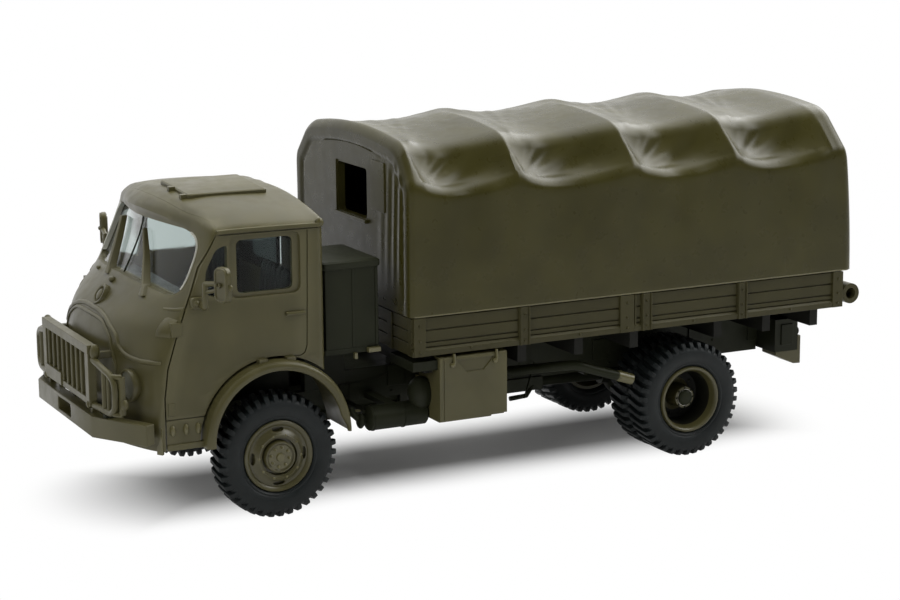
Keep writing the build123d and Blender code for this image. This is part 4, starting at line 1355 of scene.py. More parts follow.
def build_lamp_guards():
    """The loops and posts round the headlamps."""
    make("lamp_guard_loops", lamp_guard(), get_finish("body"), replaces=["lamp_guards"], edge=0.03)


# The bumper's plan, as (x, y) along its front face to the left and back along its rear face
BUMPER_PLAN = (
    (12.27, -13.2), (15.44, -7.97), (15.44, 7.97), (12.27, 13.2), (11.4, 12.7), (14.3, 7.4), (14.3, -7.4),
    (11.4, -12.7),
)
# The towing slot, as (half width, low, high)
TOWING_SLOT = (1.85, 8.55, 9.7)


def build_bumper():
    """A folded beam with swept wings and a towing slot, with the brackets on and behind it."""
    beam = Moulding().prism(BUMPER_PLAN, BUMPER_LOW, BUMPER_TOP, "z").raw("bumper_beam")
    half, low, high = TOWING_SLOT
    carve(beam, Moulding().block(12, 17, -half, half, low, high))
    finish(beam, get_finish("body"), replaces=["bumper"], edge=0.1)
    forms = Moulding()
    for side in (1, -1):
        forms.block(13.0, 14.4, side * 3.75, side * 4.65, BUMPER_LOW, 9.0)
        forms.block(13.2, 14.6, side * 8.5, side * 9.2, BUMPER_TOP - 0.2, 10.35)
    for y in steps(-8.6, 8.6, 5):
        forms.block(14.0, 14.5, y - 0.35, y + 0.35, BUMPER_TOP - 0.2, 10.4)
    forms.block(13.2, 14.25, -9.4, 9.4, BUMPER_TOP - 0.1, 10.25)
    make("bumper_brackets", forms, get_finish("chassis"), edge=0.06)


# A fender's section, as (radius, y): its outer band, rolled lip and inner face
FENDER_SECTION = (
    (6.8, 8.0), (6.8, 12.9), (6.74, 13.12), (6.6, 13.3), (6.4, 13.38), (6.15, 13.38), (5.98, 13.28),
    (5.92, 13.1), (6.0, 12.98), (6.3, 12.9), (6.4, 12.7), (6.4, 8.0),
)


def build_fenders():
    """Arched fenders with a rolled lip, and the little ties that join them to the cab."""
    forms = Moulding()
    rings = []
    for a in steps(-2, 182, 73):
        turn = math.radians(a)
        taper = 1 - 0.55 * smooth(166, 182, a)
        ring = []
        for r, y in FENDER_SECTION:
            r = ARCH_R - (ARCH_R - r) * (taper if a > 90 else 1)
            ring.append((ARCH_X + r * math.cos(turn), y, ARCH_Z + r * math.sin(turn)))
        rings.append(ring)
    forms.loft(rings)
    forms.block(-3.2, 3.4, 8.0, 8.6, ARCH_Z + 5.4, 14.3)
    for x in (-1.3, 1.3):
        z = ARCH_Z + math.sqrt(ARCH_R ** 2 - (x - ARCH_X) ** 2)
        forms.block(x - 0.4, x + 0.4, 11.9, 12.7, z - 0.4, z + 0.28)
    make("fender_arches", forms.mirror(), get_finish("body"), replaces=["front_fenders"], edge=0)


# Wheels

TYRE_R = 5.59
TYRE_W = 2.9
FRONT_FACE_Y = 12.6
REAR_FACE_Y = 12.5
TWIN_PITCH = 3.3
# A tyre's section, as (radius, distance in from its outer face)
TYRE_SECTION = (
    (3.1, 0.62), (3.2, 0.4), (3.34, 0.2), (3.5, 0.1), (3.62, 0.14), (3.74, 0.06), (4.2, 0.0), (4.7, 0.02),
    (4.98, 0.12), (5.12, 0.3), (5.18, 0.6), (5.2, 1.45),
)
# Stations across a lug, as (distance in, low radius, high radius, share of the pitch, turn)
LUG_STATIONS = (
    (0.0, 4.72, 4.98, 0.52, 0.0), (0.08, 4.8, 5.3, 0.54, 0.0), (0.34, 5.0, TYRE_R - 0.02, 0.56, 0.02),
    (1.0, 5.05, TYRE_R, 0.54, 0.14), (1.62, 5.05, TYRE_R - 0.02, 0.4, 0.3),
)
# A lug's corners, as (which radius, how many half widths to the side)
LUG_CORNERS = ((0, -1.1), (1, -0.9), (1, 0.9), (0, 1.1))


def tyre_forms(face, x, phase):
    """One tyre: a smooth sidewall and two rows of staggered lugs that wrap over the shoulders."""
    forms = Moulding()
    section = [(r, face - d) for r, d in TYRE_SECTION]
    section += [(r, face - TYRE_W + d) for r, d in reversed(TYRE_SECTION[:-1])]
    forms.lathe(section, (x, 0, AXLE_Z), 96)
    count = shape_settings().lug_count
    pitch = math.tau / count
    for row, outer, way in ((0, face - 0.06, 1), (1, face - TYRE_W + 0.06, -1)):
        for k in range(count):
            a = phase + pitch * (k + 0.5 * row)
            rings = []
            for inside, low, high, share, turn in LUG_STATIONS:
                half = pitch * share / 2
                middle = a + pitch * turn * way
                ring = []
                for level, side in LUG_CORNERS:
                    r = high if level else low
                    b = middle + half * side
                    ring.append((x + r * math.cos(b), outer - way * inside, AXLE_Z + r * math.sin(b)))
                rings.append(ring)
            forms.loft(rings)
    return forms


# The front rim, as (radius, distance out from its face): a flat outer ring, a domed disc with a ridge of
# nuts, and a grooved hub
FRONT_RIM = (
    (0.62, -2.2), (1.6, -2.2), (1.6, -1.3), (2.6, -1.1), (2.75, -2.4), (3.2, -2.4), (3.22, -0.5),
    (3.2, -0.2), (3.12, -0.12), (2.98, -0.16), (2.8, -0.24), (2.72, -0.36), (2.6, -0.38), (2.3, -0.22),
    (2.08, -0.02), (1.98, 0.08), (1.86, 0.06), (1.74, -0.02), (1.66, -0.04), (1.62, -0.5), (1.46, -0.5),
    (1.42, 0.14), (1.34, 0.24), (1.24, 0.24), (1.18, 0.14), (1.1, 0.1), (1.02, -0.3), (0.62, -0.3),
)
# The rear rim, in the same way: two barrels, a pale lip, a deep bowl and a raised hub ring
BARREL = 0.5 - TWIN_PITCH - TYRE_W
BOWL = -3.0
REAR_RIM = (
    (0.62, BARREL + 1.2), (1.7, BARREL + 1.2), (1.7, BARREL + 1.6), (2.5, BARREL + 1.6),
    (2.85, BARREL), (3.2, BARREL), (3.22, -0.5), (3.2, -0.16), (3.1, -0.04), (2.96, -0.04),
    (2.84, -0.14), (2.78, -0.34), (2.7, -0.6), (2.56, -1.3), (2.4, BOWL + 0.1), (2.2, BOWL), (1.62, BOWL),
    (1.2, BOWL + 0.2), (1.1, -1.4), (1.02, -1.16), (0.9, -1.1), (0.8, -1.12), (0.78, -1.3), (0.62, -1.3),
)
# The rear rim's bowl lined with a near-black skin of painted shade, and the hub caps
BOWL_SKIN = (
    (1.6, -2.97), (2.2, -2.97), (2.42, -2.86), (2.6, -1.3), (2.72, -0.7), (2.7, -0.7), (2.52, -1.3),
    (2.36, -2.8), (2.18, -2.9), (1.6, -2.9),
)
FRONT_CAP = ((0.01, 0.0), (1.12, 0.0), (1.12, 0.1), (0.4, 0.12), (0.34, 0.3), (0.01, 0.34))
REAR_CAP = ((0.01, -1.16), (0.8, -1.16), (0.78, -1.02), (0.66, -0.84), (0.5, -0.74), (0.01, -0.72))
# Rings of nuts, as (distance out from the face, ring's radius, count, nut's radius, how proud, turn)
FRONT_NUTS = ((0.05, 1.97, 10, 0.13, 0.9, 0.0), (0.14, 0.86, 8, 0.16, 1.1, 0.2))
REAR_NUTS = ((-2.95, 1.95, 10, 0.16, 1.2, 0.0), (-1.1, 0.92, 8, 0.1, 0.9, 0.0))
# The front rim's slots, as (their ring's radius, count, length, width)
RIM_SLOTS = (2.42, 4, 1.15, 0.42)


def rim_slots(face, radius, count, long, wide):
    """Cutters for a rim's rounded slots."""
    forms = Moulding()
    turns = [math.tau * k / 16 for k in range(16)]
    outline = [(math.cos(b) * long / 2, math.sin(b) * wide / 2) for b in turns]
    for turn in range(count):
        a = math.tau * turn / count
        along = Vector((-math.sin(a), 0, math.cos(a)))
        out = Vector((math.cos(a), 0, math.sin(a)))
        centre = Vector((radius * math.cos(a), 0, AXLE_Z + radius * math.sin(a)))
        rings = []
        for y in (face - 0.75, face + 0.6):
            rings.append([centre + along * u + out * v + Vector((0, y, 0)) for u, v in outline])
        forms.loft(rings)
    return forms


def nut_ring(forms, x, face, nuts):
    """Small nuts round a hub."""
    out, radius, count, size, proud, phase = nuts
    for k in range(count):
        a = math.tau * k / count + phase
        place = (x + radius * math.cos(a), face + out, AXLE_Z + radius * math.sin(a))
        forms.ball(place, size, (1, proud, 1), 6)


def build_wheel(place, rng):
    """One wheel's tread, rim, nuts and hub cap. The right ones are mirrored from the left."""
    front, left = place.startswith("front"), place.endswith("left")
    body = f"wheel_{place}"
    x = 0 if front else -WHEELBASE
    face = FRONT_FACE_Y if front else REAR_FACE_Y
    centre = (x, face, AXLE_Z)

    def sided(forms):
        """The forms on this wheel's side of the truck."""
        return forms if left else forms.flipped()

    tyres = Moulding()
    for twin in range(1 if front else 2):
        tyres.join(tyre_forms(face - TWIN_PITCH * twin, x, rng.uniform(0, 0.16)))
    node = f"{body}_tyre" if front else f"{body}_tyres"
    tread, rubber = sided(tyres), get_finish("tyre")
    make(f"{node}_tread", tread, rubber, body=body, slot="tyre", replaces=[node], edge=0.05, segments=1)
    rim = sided(Moulding().lathe(FRONT_RIM if front else REAR_RIM, centre, 72)).raw(f"{body}_rim_moulding")
    if front:
        carve(rim, sided(rim_slots(face, *RIM_SLOTS)))
    finish(rim, get_finish("rim"), body=body, slot="rim", replaces=[f"{body}_rim"], edge=0)
    if not front:
        # The bowl's skin is near-black, painted shade inside the rim
        skin = sided(Moulding().lathe(BOWL_SKIN, centre, 72))
        make(f"{body}_bowl", skin, get_finish("recess"), body=body, slot="rim", edge=0)
    nuts = Moulding()
    for row in FRONT_NUTS if front else REAR_NUTS:
        nut_ring(nuts, x, face, row)
    nuts.lathe(FRONT_CAP if front else REAR_CAP, centre, 32)
    # Front nuts and cap take the paler olive, a painted glint; the rear ones take the darker chassis olive,
    # painted shade
    look = get_finish("worn" if front else "chassis")
    make(f"{body}_nuts", sided(nuts), look, body=body, slot="rim", edge=0)


def build_wheels():
    """All four wheels: lugged tyres, moulded rims with their nuts, and the steel pins that they turn on."""
    rng = random.Random(7)
    for place in ("front_left", "front_right", "rear_left", "rear_right"):
        build_wheel(place, rng)
    for node in ("front_axle_pin", "rear_axle_pin"):
        dress(node, get_finish("pin"), 0.06)


# Frame and running gear


RIVETS_X = (-11.0, -9.4, -14.5, -26.0, -28.0, -38.0, -46.0, -50.0)
RIVETS_Z = (8.1, 9.1)
PLATES_X = (-15.0, -27.0, -37.0, -48.0, -55.0)


def build_frame():
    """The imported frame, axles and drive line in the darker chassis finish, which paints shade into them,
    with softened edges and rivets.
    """
    dark = get_finish("chassis")
    for node in ("frame_rail_left", "frame_rail_right", "cross_members", "bed_runners"):
        dress(node, dark, 0.06)
    # The bearers under the bed take the near-black finish, painted shade
    dress("bed_bearers", get_finish("recess"), 0.06)
    for node in ("transfer_case", "engine_underside"):
        dress(node, dark, 0.06)
    for node in ("front_axle_housing", "rear_axle_housing", "propshafts"):
        dress(node, dark, 0.1)
    rivets = Moulding()
    for x in RIVETS_X:
        for z in RIVETS_Z:
            rivets.ball((x, 4.66, z), 0.14, (1, 0.7, 1), 6)
    rivets.block(-11.2, -9.2, 4.6, 4.78, 7.6, 9.3)
    rivets.block(-10.27, -10.13, 4.7, 4.86, 7.55, 9.35)
    for x in PLATES_X:
        rivets.block(x - 0.9, x + 0.9, 4.55, 4.8, 8.6, 10.6)
    make("frame_rivets", rivets.mirror(), dark, slot="chassis", edge=0.04)


# Springs, as (centre x, half length of the top leaf, leaves)
SPRING_PACKS = ((0.0, 5.6, 5), (-WHEELBASE, 7.2, 6))
SPRING_Y = 4.2
RAIL_LOW = 7.6


# How far above the axle the springs are seated, the distance from a leaf to the next, how much shorter
# each is than the one above it, and how far the U-bolts stand to each side
SPRING_SEAT = 0.95
LEAF_PITCH = 0.15
LEAF_SHORTER = 0.15
U_BOLT_Y = 0.62


def build_springs():
    """Leaf springs as packs of thin curved leaves, with shackles, clips and U-bolts."""
    forms = Moulding()
    seat = AXLE_Z + SPRING_SEAT
    for centre, half, leaves in SPRING_PACKS:
        for k in range(leaves):
            reach = half * (1 - LEAF_SHORTER * k)
            path = []
            for x in steps(-reach, reach, 17):
                z = seat + LEAF_PITCH * (leaves - 1 - k) + 0.42 * (x / half) ** 2
                path.append((centre + x, SPRING_Y, z))
            forms.strip(path, (0, 0, 1), 1.1, 0, 0.14)
        for end in (centre - half, centre + half):
            forms.tube([(end, SPRING_Y - 0.7, seat + 1.0), (end, SPRING_Y + 0.7, seat + 1.0)], 0.32, 10)
            forms.block(end - 0.3, end + 0.3, SPRING_Y - 0.66, SPRING_Y + 0.66, seat + 0.9, RAIL_LOW + 0.2)
        for x in (centre - 0.7, centre + 0.7):
            for y in (SPRING_Y - U_BOLT_Y, SPRING_Y + U_BOLT_Y):
                forms.tube([(x, y, 4.5), (x, y, seat + 1.3)], 0.12, 6)
        forms.block(centre - 1.0, centre + 1.0, SPRING_Y - 0.7, SPRING_Y + 0.7, seat + 0.95, seat + 1.2)
    dark = get_finish("chassis")
    make("leaf_spring_packs", forms.mirror(), dark, slot="chassis", replaces=["leaf_springs"], edge=0.03)


def tank_forms(x0, x1, y, z, radius, dish):
    """A drum along x with domed ends."""
    end = ((0.02, 0.0), (radius * 0.6, dish * 0.2), (radius - 0.12, dish * 0.7), (radius, dish))
    profile = [(r, x0 + inward) for r, inward in end] + [(r, x1 - inward) for r, inward in reversed(end)]
    rings = []
    for r, x in profile:
        turns = (math.tau * k / 36 for k in range(36))
        rings.append([(x, y + r * math.cos(a), z + r * math.sin(a)) for a in turns])
    return Moulding().loft(rings)


LOCKER_FRONT, LOCKER_REAR = -15.57, -22.41
LOCKER_LOW, LOCKER_TOP = 6.7, 12.76
LOCKER_IN, LOCKER_OUT = 8.4, 12.8
# The frame rail's outer face, which carries what hangs beside it
RAIL_OUT = 4.65
# The drums beside the frame, as (y, z) of their middle lines
TANK_AT = (9.6, 7.15)
SILENCER_AT = (-9.0, 7.3)
FUEL_AT = (-9.6, 9.2)
# The raised field on the locker's face, as (x, z)
LOCKER_EMBOSS = ((-17.3, 12.35), (-18.3, 11.2), (-20.0, 11.2), (-21.1, 12.35))
EXHAUST = (
    (-24.0, 5.0, 8.8), (-26.5, 7.2, 9.2), (-29.6, 10.0, 9.85), (-31.0, 10.75, 9.9), (-32.5, 11.0, 9.4),
    (-36.5, 11.5, 8.1),
)
# The casing under the frame, as (y, z)
CASING = ((-2.4, 8.4), (-1.8, 6.0), (-0.9, 5.0), (0.9, 5.0), (1.8, 6.0), (2.4, 8.4))


def straps(forms, places, at, inner, outer, half, count=36):
    """Straps round a drum that lies along x."""
    for x in places:
        forms.lathe(((inner, -half), (outer, -half), (outer, half), (inner, half)), (x, *at), count, "x")


def build_air_tank():
    """The air tank with its straps and valve, the dome beside the locker, and their brackets."""
    tank = tank_forms(LOCKER_FRONT - 0.2, -9.5, *TANK_AT, 1.15, 0.4)
    straps(tank, (-13.2,), TANK_AT, 1.1, 1.22, 0.08)
    straps(tank, (-10.2,), TANK_AT, 1.1, 1.2, 0.08)
    tank.tube([(-9.6, 9.6, 7.15), (-8.9, 9.6, 7.2), (-8.5, 9.5, 7.6), (-8.3, 9.2, 8.2)], 0.3, 8)
    tank.ball((-9.1, 9.6, 7.0), 0.55, (0.7, 1, 1.3), 10)
    tank.ball((-15.0, 9.9, 9.0), 1.25, (1, 1, 1.25), 14)
    tank.block(-12.7, -11.7, RAIL_OUT, 9.6, 7.8, 8.3)
    tank.block(-9.9, -9.3, RAIL_OUT, 9.6, 7.5, 7.9)
    make("air_tank_drum", tank, get_finish("chassis"), slot="chassis", replaces=["air_tank"], edge=0.04)


def build_locker():
    """The side locker with its raised field, and its clasps."""
    low, top = LOCKER_LOW, LOCKER_TOP
    box = rounded(((LOCKER_IN, low), (LOCKER_OUT, low), (LOCKER_OUT, top), (LOCKER_IN, top)), 0.25, 4)
    body = Moulding().prism(box, LOCKER_REAR, LOCKER_FRONT, "x").raw("side_locker_body")
    carve(body, Moulding().prism(LOCKER_EMBOSS, 12.68, 13.2, "y"))
    joint = ((-16.0, LOCKER_OUT, 6.0), (-16.0, LOCKER_OUT, 13.2))
    carve(body, Moulding().strip(joint, (0, 1, 0), 0.08, -0.07, 1))
    carve(body, Moulding().block(-23, -20.8, 12.2, 13.5, 6.0, 6.95))
    finish(body, get_finish("body"), slot="chassis", replaces=["side_locker"], edge=0.07)
    fittings = Moulding().block(-21.0, -17.0, 4.6, 8.5, 8.0, 9.4)
    for x in (-16.9, -21.2):
        fittings.tube([(x - 0.1, 12.86, 13.0), (x - 0.1, 12.95, 12.2), (x + 0.05, 12.98, 12.0)], 0.13, 8)
        fittings.ball((x + 0.05, 12.9, 11.95), 0.24, (1, 0.8, 1), 8)
    # The clasps and the bracket under the locker take the paler olive, a painted highlight
    make("locker_clasps", fittings, get_finish("worn"), slot="chassis", edge=0.04)


def build_right_drums():
    """The silencer and the fuel tank on the right side, with their straps and brackets."""
    silencer = tank_forms(-12.9, -7.3, *SILENCER_AT, 1.6, 0.35)
    straps(silencer, (-12.0, -8.2), SILENCER_AT, 1.5, 1.66, 0.12)
    silencer.block(-10.2, -9.4, -9.0, -RAIL_OUT, 7.8, 8.5)
    make("silencer_drum", silencer, get_finish("chassis"), slot="chassis", replaces=["silencer"], edge=0.04)
    fuel = tank_forms(-23.8, LOCKER_FRONT, *FUEL_AT, 2.6, 0.25)
    straps(fuel, (-21.8, -17.6), FUEL_AT, 2.4, 2.68, 0.3, 48)
    fuel.block(-21.5, -19.5, -9.6, -RAIL_OUT, 8.2, 9.4)
    fuel.tube([(-19.7, -10.8, 11.4), (-19.7, -11.3, 12.2)], 0.6, 14)
    make("fuel_tank_drum", fuel, get_finish("body"), slot="chassis", replaces=["fuel_tank"], edge=0.04)


def build_exhaust():
    """The exhaust pipe that comes out behind the locker, and its tip in the paler olive, a painted
    highlight.
    """
    pipe = Moulding().tube(smooth_path(EXHAUST, 6), 0.47, 16)
    pipe.block(-25.0, -24.0, RAIL_OUT, 5.6, 8.4, 9.2)
    make("exhaust_pipe_run", pipe, get_finish("chassis"), slot="chassis", replaces=["exhaust_pipe"], edge=0)
    # The tip takes the paler olive, a painted highlight
    tip = Moulding().tube([(-35.0, 11.26, 8.6), (-36.55, 11.52, 8.08)], 0.52, 20, 0.5)
    make("exhaust_tip", tip, get_finish("worn"), slot="chassis", edge=0.05)


def build_brackets():
    """The exhaust's stay, the bracket over the locker, and the casing between the frame rails."""
    stay = Moulding().tube([(-29.5, 5.0, 9.2), (-27.6, 6.5, 6.2)], 0.1, 6)
    stay.block(-16.0, -13.1, 7.4, 12.4, 11.6, 12.5)
    stay.block(-30.5, -26.5, 3.9, 4.9, 6.4, 7.7)
    stay.block(-17.0, -9.0, -4.6, 4.6, 8.4, 10.6)
    stay.prism(CASING, -16.8, -7.6, "x")
    stay.tube([(-30.2, 4.4, 7.6), (-28.6, 5.0, 6.0), (-26.8, 5.0, 5.9)], 0.25, 8)
    make("under_bed_brackets", stay, get_finish("chassis"), slot="chassis", edge=0.05)


def build_stowage_box():
    """The box behind the cab, its lid with a shallow crown, its cross shelf and the small hooks beneath."""
    forms = Moulding()
    forms.block(-10.5, -5.2, -11.0, 11.0, 13.7, 14.2)
    for side in (1, -1):
        forms.block(-9.8, -5.8, side * 3.75, side * 4.65, 9.0, 13.7)
    forms.block(-10.4, -5.3, 3.3, 11.0, 14.2, 21.4)
    rings = []
    for z, inset in ((21.35, 0.0), (21.5, -0.1), (21.95, -0.1), (22.12, 0.1)):
        rear, front, right, left = -10.5 + inset, -5.2 - inset, 3.2 + inset, 11.1 - inset
        ring = rounded(((rear, right), (front, right), (front, left), (rear, left)), 0.3, 4)
        rings.append([(p.x, p.y, z) for p in ring])
    forms.loft(rings)
    forms.block(-8.05, -7.85, 11.0, 11.07, 14.3, 21.3)
    forms.block(-10.35, -10.1, 11.0, 11.1, 14.3, 21.3)
    # The box is in the darker chassis olive, painted shade behind the cab
    dark = get_finish("chassis")
    make("stowage_box_body", forms, dark, slot="chassis", replaces=["stowage_box"], edge=0.08)
    # The hooks take the paler olive, a painted highlight
    hooks = Moulding()
    hooks.block(-10.4, -9.2, 11.0, 11.5, 13.7, 14.1)
    hooks.block(-8.2, -7.9, 11.0, 11.35, 13.2, 13.75)
    hooks.tube([(-8.2, 9.0, 7.9), (-9.2, 9.4, 7.9)], 0.14, 6)
    make("shelf_hooks", hooks, get_finish("worn"), slot="chassis", edge=0.04)


# Cargo bed

BED_FRONT, BED_REAR = -12.84, -59.66
BED_HALF = 12.75
BED_LOW, BED_TOP = 13.08, 16.6
BOARD = 0.85
PLANK_JOINTS = (14.3, 15.4)
# Posts, as (centre x, width)
POSTS = ((-13.55, 1.2), (-24.2, 1.15), (-35.05, 1.5), (-37.2, 1.15), (-47.9, 1.1), (-59.05, 1.2))
POST_PROUD = 0.24
# Posts narrower than this have a rib along each edge
RIBBED_BELOW = 1.18
POST_BOLTS_Z = (13.5, 14.5, 15.9)
RAIL_BOLTS_X = (-18.7, -30.0, -42.4, -53.5)
# The rub rail's section, as (distance out from the side, height above its foot)
RUB_RAIL = ((-0.3, 0.0), (0.16, 0.0), (0.2, 0.5), (0.0, 0.72), (-0.3, 0.72))


def bed_side():
    """The bed's left side: planks over a rub rail, posts with bolts, and the double post's channel."""
    forms = Moulding()
    forms.block(BED_REAR, BED_FRONT, BED_HALF - BOARD, BED_HALF - 0.16, BED_LOW, BED_TOP - 0.02)
    levels = (BED_LOW + 0.72, *PLANK_JOINTS, BED_TOP)
    for low, high in zip(levels, levels[1:]):
        forms.block(BED_REAR, BED_FRONT, BED_HALF - 0.2, BED_HALF, low + 0.09, high - 0.05)
    rail = [(BED_HALF + aside, BED_LOW + rise) for aside, rise in RUB_RAIL]
    forms.prism(rail, BED_REAR, BED_FRONT, "x")
    for x, width in POSTS:
        half = width / 2
        forms.block(x - half, x + half, BED_HALF - 0.3, BED_HALF + POST_PROUD, BED_LOW, BED_TOP)
        if width < RIBBED_BELOW:
            for rib in (x - half + 0.05, x + half - 0.22):
                forms.block(rib, rib + 0.17, BED_HALF, BED_HALF + POST_PROUD + 0.12, BED_LOW, BED_TOP)
        for z in POST_BOLTS_Z:
            forms.ball((x, BED_HALF + POST_PROUD, z), 0.15, (1, 0.8, 1), 6)
    for x in RAIL_BOLTS_X:
        forms.ball((x, BED_HALF + 0.18, BED_LOW + 0.35), 0.16, (1, 0.8, 1), 6)
    forms.block(-36.1, -35.9, BED_HALF - 0.1, BED_HALF + 0.16, BED_LOW, BED_TOP)
    return forms


def end_boards(x_out, outward):
    """A board across the bed's end, with planks and two straps."""
    forms = Moulding()
    inner = BED_HALF - BOARD
    x_in = x_out - outward * BOARD
    low, high = sorted((x_in, x_out - outward * 0.16))
    forms.block(low, high, -inner, inner, BED_LOW, BED_TOP - 0.02)
    levels = (BED_LOW, *PLANK_JOINTS, BED_TOP)
    for z0, z1 in zip(levels, levels[1:]):
        low, high = sorted((x_out - outward * 0.2, x_out))
        forms.block(low, high, -inner, inner, z0 + 0.06, z1 - 0.06)
    for y in (-8.2, 0.0, 8.2):
        low, high = sorted((x_out - outward * 0.1, x_out + outward * 0.08))
        forms.block(low, high, y - 0.45, y + 0.45, BED_LOW, BED_TOP - 0.1)
    return forms


def build_bed():
    """The cargo bed's sides, ends and floor."""
    boards = (
        ("bed_side_left_boards", bed_side(), "bed_side_left"),
        ("bed_side_right_boards", bed_side().flipped(), "bed_side_right"),
        ("bed_front_boards", end_boards(BED_FRONT, 1), "bed_front_board"),
        ("tailgate_boards", end_boards(BED_REAR, -1), "tailgate"),
    )
    for name, forms, node in boards:
        make(name, forms, get_finish("bed"), slot="bed", replaces=[node], edge=0.045)
    dress("bed_floor", get_finish("bed"), 0.04)


# Cover

COVER_FRONT, COVER_REAR = -12.64, -60.75
COVER_HALF = 12.95
COVER_LOW = 16.7
SHOULDER_Z = 28.4
CORNER_Y_COVER = 10.1
# Bows, as (x, corner height, crown height, corner sag behind it)
BOWS = (
    (-13.5, 31.95, 32.8, 0.6),
    (-23.7, 32.2, 33.05, 0.7),
    (-36.0, 32.4, 33.2, 0.72),
    (-47.4, 32.45, 33.25, 0.75),
    (-58.6, 32.5, 33.3, 0.0),
)
# The rear wall leans forward, as (height, distance ahead)
REAR_LEAN = ((10.0, 0.0), (20.0, 0.0), (27.0, 0.5), (32.4, 1.4), (36.0, 1.8))


def rear_lean(z):
    """How far the rear wall leans forward at a height."""
    return read_row(REAR_LEAN, z)[0]


def bay_at(x):
    """The bow ahead of a place, the next one, and how far between them the place is."""
    for ahead, behind in zip(BOWS, BOWS[1:]):
        if behind[0] <= x <= ahead[0]:
            return ahead, behind, (ahead[0] - x) / (ahead[0] - behind[0])
    return (BOWS[0], BOWS[0], 0.0) if x > BOWS[0][0] else (BOWS[-1], BOWS[-1], 0.0)


# How far behind its bow a dent begins at the shoulder, and about how long a bay is
DENT_LAG = 0.8
BAY_LENGTH = 11
# How far further back the bays lie along the right side
RIGHT_LAG = 3.2


def cover_half(x, seed=0.0):
    """The left half of the cover's cross-section at x, as (y, z) from its lower edge to the crown."""
    ahead, behind, t = bay_at(x)
    sag = ahead[3] * math.sin(math.pi * t ** 0.8) ** 1.2 if 0 < t < 1 else 0.0
    corner_z = ahead[1] + (behind[1] - ahead[1]) * t - sag
    crown = ahead[2] + (behind[2] - ahead[2]) * t - sag
    if x > BOWS[0][0]:
        corner_z -= 0.45 * smooth(0, 0.86, x - BOWS[0][0])
        crown -= 0.4 * smooth(0, 0.86, x - BOWS[0][0])
    depth = shape_settings().dent_depth / MM
    points = []
    dip = math.sin(math.pi * t ** 0.8) if 0 < t < 1 else 0.0
    corner_y = CORNER_Y_COVER - 0.25 * dip
    shoulder_z = SHOULDER_Z + 0.15 - 0.5 * dip
    for z in steps(COVER_LOW, shoulder_z - 0.9, 20):
        high = smooth(20, 28, z)
        wave = 0.05 * high * math.sin(x * 1.1 + 2 * math.sin(x * 0.31))
        fold = wave - 0.12 * high * math.sin(math.pi * t) ** 2
        points.append(Vector((COVER_HALF + fold, z)))
    shoulder = Vector((points[-1].x, shoulder_z))
    corner = Vector((corner_y, corner_z))
    along = (corner - shoulder).normalized()
    out = Vector((along.y, -along.x))
    length = (corner - shoulder).length
    foot = len(points)
    for s in steps(0.7 / length, 1 - 1.0 / length, 24):
        # The dent begins at the bow, a little further back at the shoulder than at the corner
        lag = min(1.0, max(0.0, t - DENT_LAG * (1 - s) / BAY_LENGTH))
        dent = depth * math.sin(math.pi * lag ** 0.7) if 0 < t < 1 else 0.0
        bell = math.sin(math.pi * min(1.0, s ** 0.7))
        # Diagonal folds fan out from the foot of the bow ahead
        reach = t * (ahead[0] - behind[0])
        fan = math.atan2(s * length + 0.25, reach + 0.35)
        folds = 0.1 * dent * math.sin(fan * 17 + seed) * smooth(0.9, 3.2, reach) * math.sin(math.pi * s)
        points.append(shoulder + along * (s * length) - out * (dent * bell) + out * folds)
    wall_top, slope_foot = points[foot - 1], points[foot]
    pull = Vector((wall_top.x, max(wall_top.y + 0.3, slope_foot.y - 0.4)))
    points[foot:foot] = bezier(wall_top, pull, slope_foot, 7)[1:-1]
    start = points[-1]
    first = corner - along * 0.35
    # The crown is an arc through the corner and the middle
    rise = crown - corner_z
    radius = (corner_y ** 2 + rise ** 2) / (2 * rise)
    centre_z = crown - radius
    top = []
    for y in steps(corner_y - 1.1, 0, 24):
        top.append(Vector((y, centre_z + math.sqrt(radius ** 2 - y ** 2))))
    points += bezier(start, first * 0.5 + corner * 0.5, top[0], 9)[1:-1]
    return points + top


def top_creases(x, y):
    """Low tension folds on the top, which run back from each bow's left end to the far side."""
    rise = 0.0
    for bow_x, _, _, _ in BOWS[:-1]:
        for turn, strength in ((0.22, 0.05), (0.36, 0.07), (0.5, 0.04)):
            line_x = bow_x - 0.6 - (10.5 - y) * turn
            rise += strength * bump(x, line_x, 0.42) * smooth(-11, -6, y) * (1 - smooth(8.5, 10.2, y))
    return rise


def cover_ring(x_front, inset, u):
    """One whole ring of the cover, drawn in by inset. u is 0 at the front wall and 1 at the rear wall."""
    left = cover_half(x_front)
    right = []
    late_x = x_front
    if x_front < BOWS[0][0]:
        late_x = min(BOWS[0][0], x_front + RIGHT_LAG * smooth(0, 9, BOWS[0][0] - x_front))
    for near, late in zip(cover_half(x_front, 1.7), cover_half(late_x, 1.7)):
        right.append(near + (late - near) * smooth(0, 8, near.x))
    ring = []
    for side, half in ((1, left), (-1, right[:-1][::-1])):
        for p in half:
            y, z = p.x * side, p.y
            middle = Vector((0, 24.0))
            pull = Vector((y, z)) - middle
            out = Vector((pull.x / 13, pull.y / 9)).normalized()
            y -= out.x * inset
            z -= max(0.0, out.y) * inset
            x = COVER_FRONT + (COVER_REAR + rear_lean(z) - COVER_FRONT) * u
            if z > 30:
                z += top_creases(x, y)
            ring.append((x, y, z))
    return ring


FRONT_RIM_R = 0.5
REAR_CORNER_R = 0.95


# Soft folds beside the window, as (y, height, width)
WALL_FOLDS = ((6.9, 0.05, 0.5), (8.3, 0.08, 0.4), (9.6, 0.08, 0.35), (10.8, 0.1, 0.35))


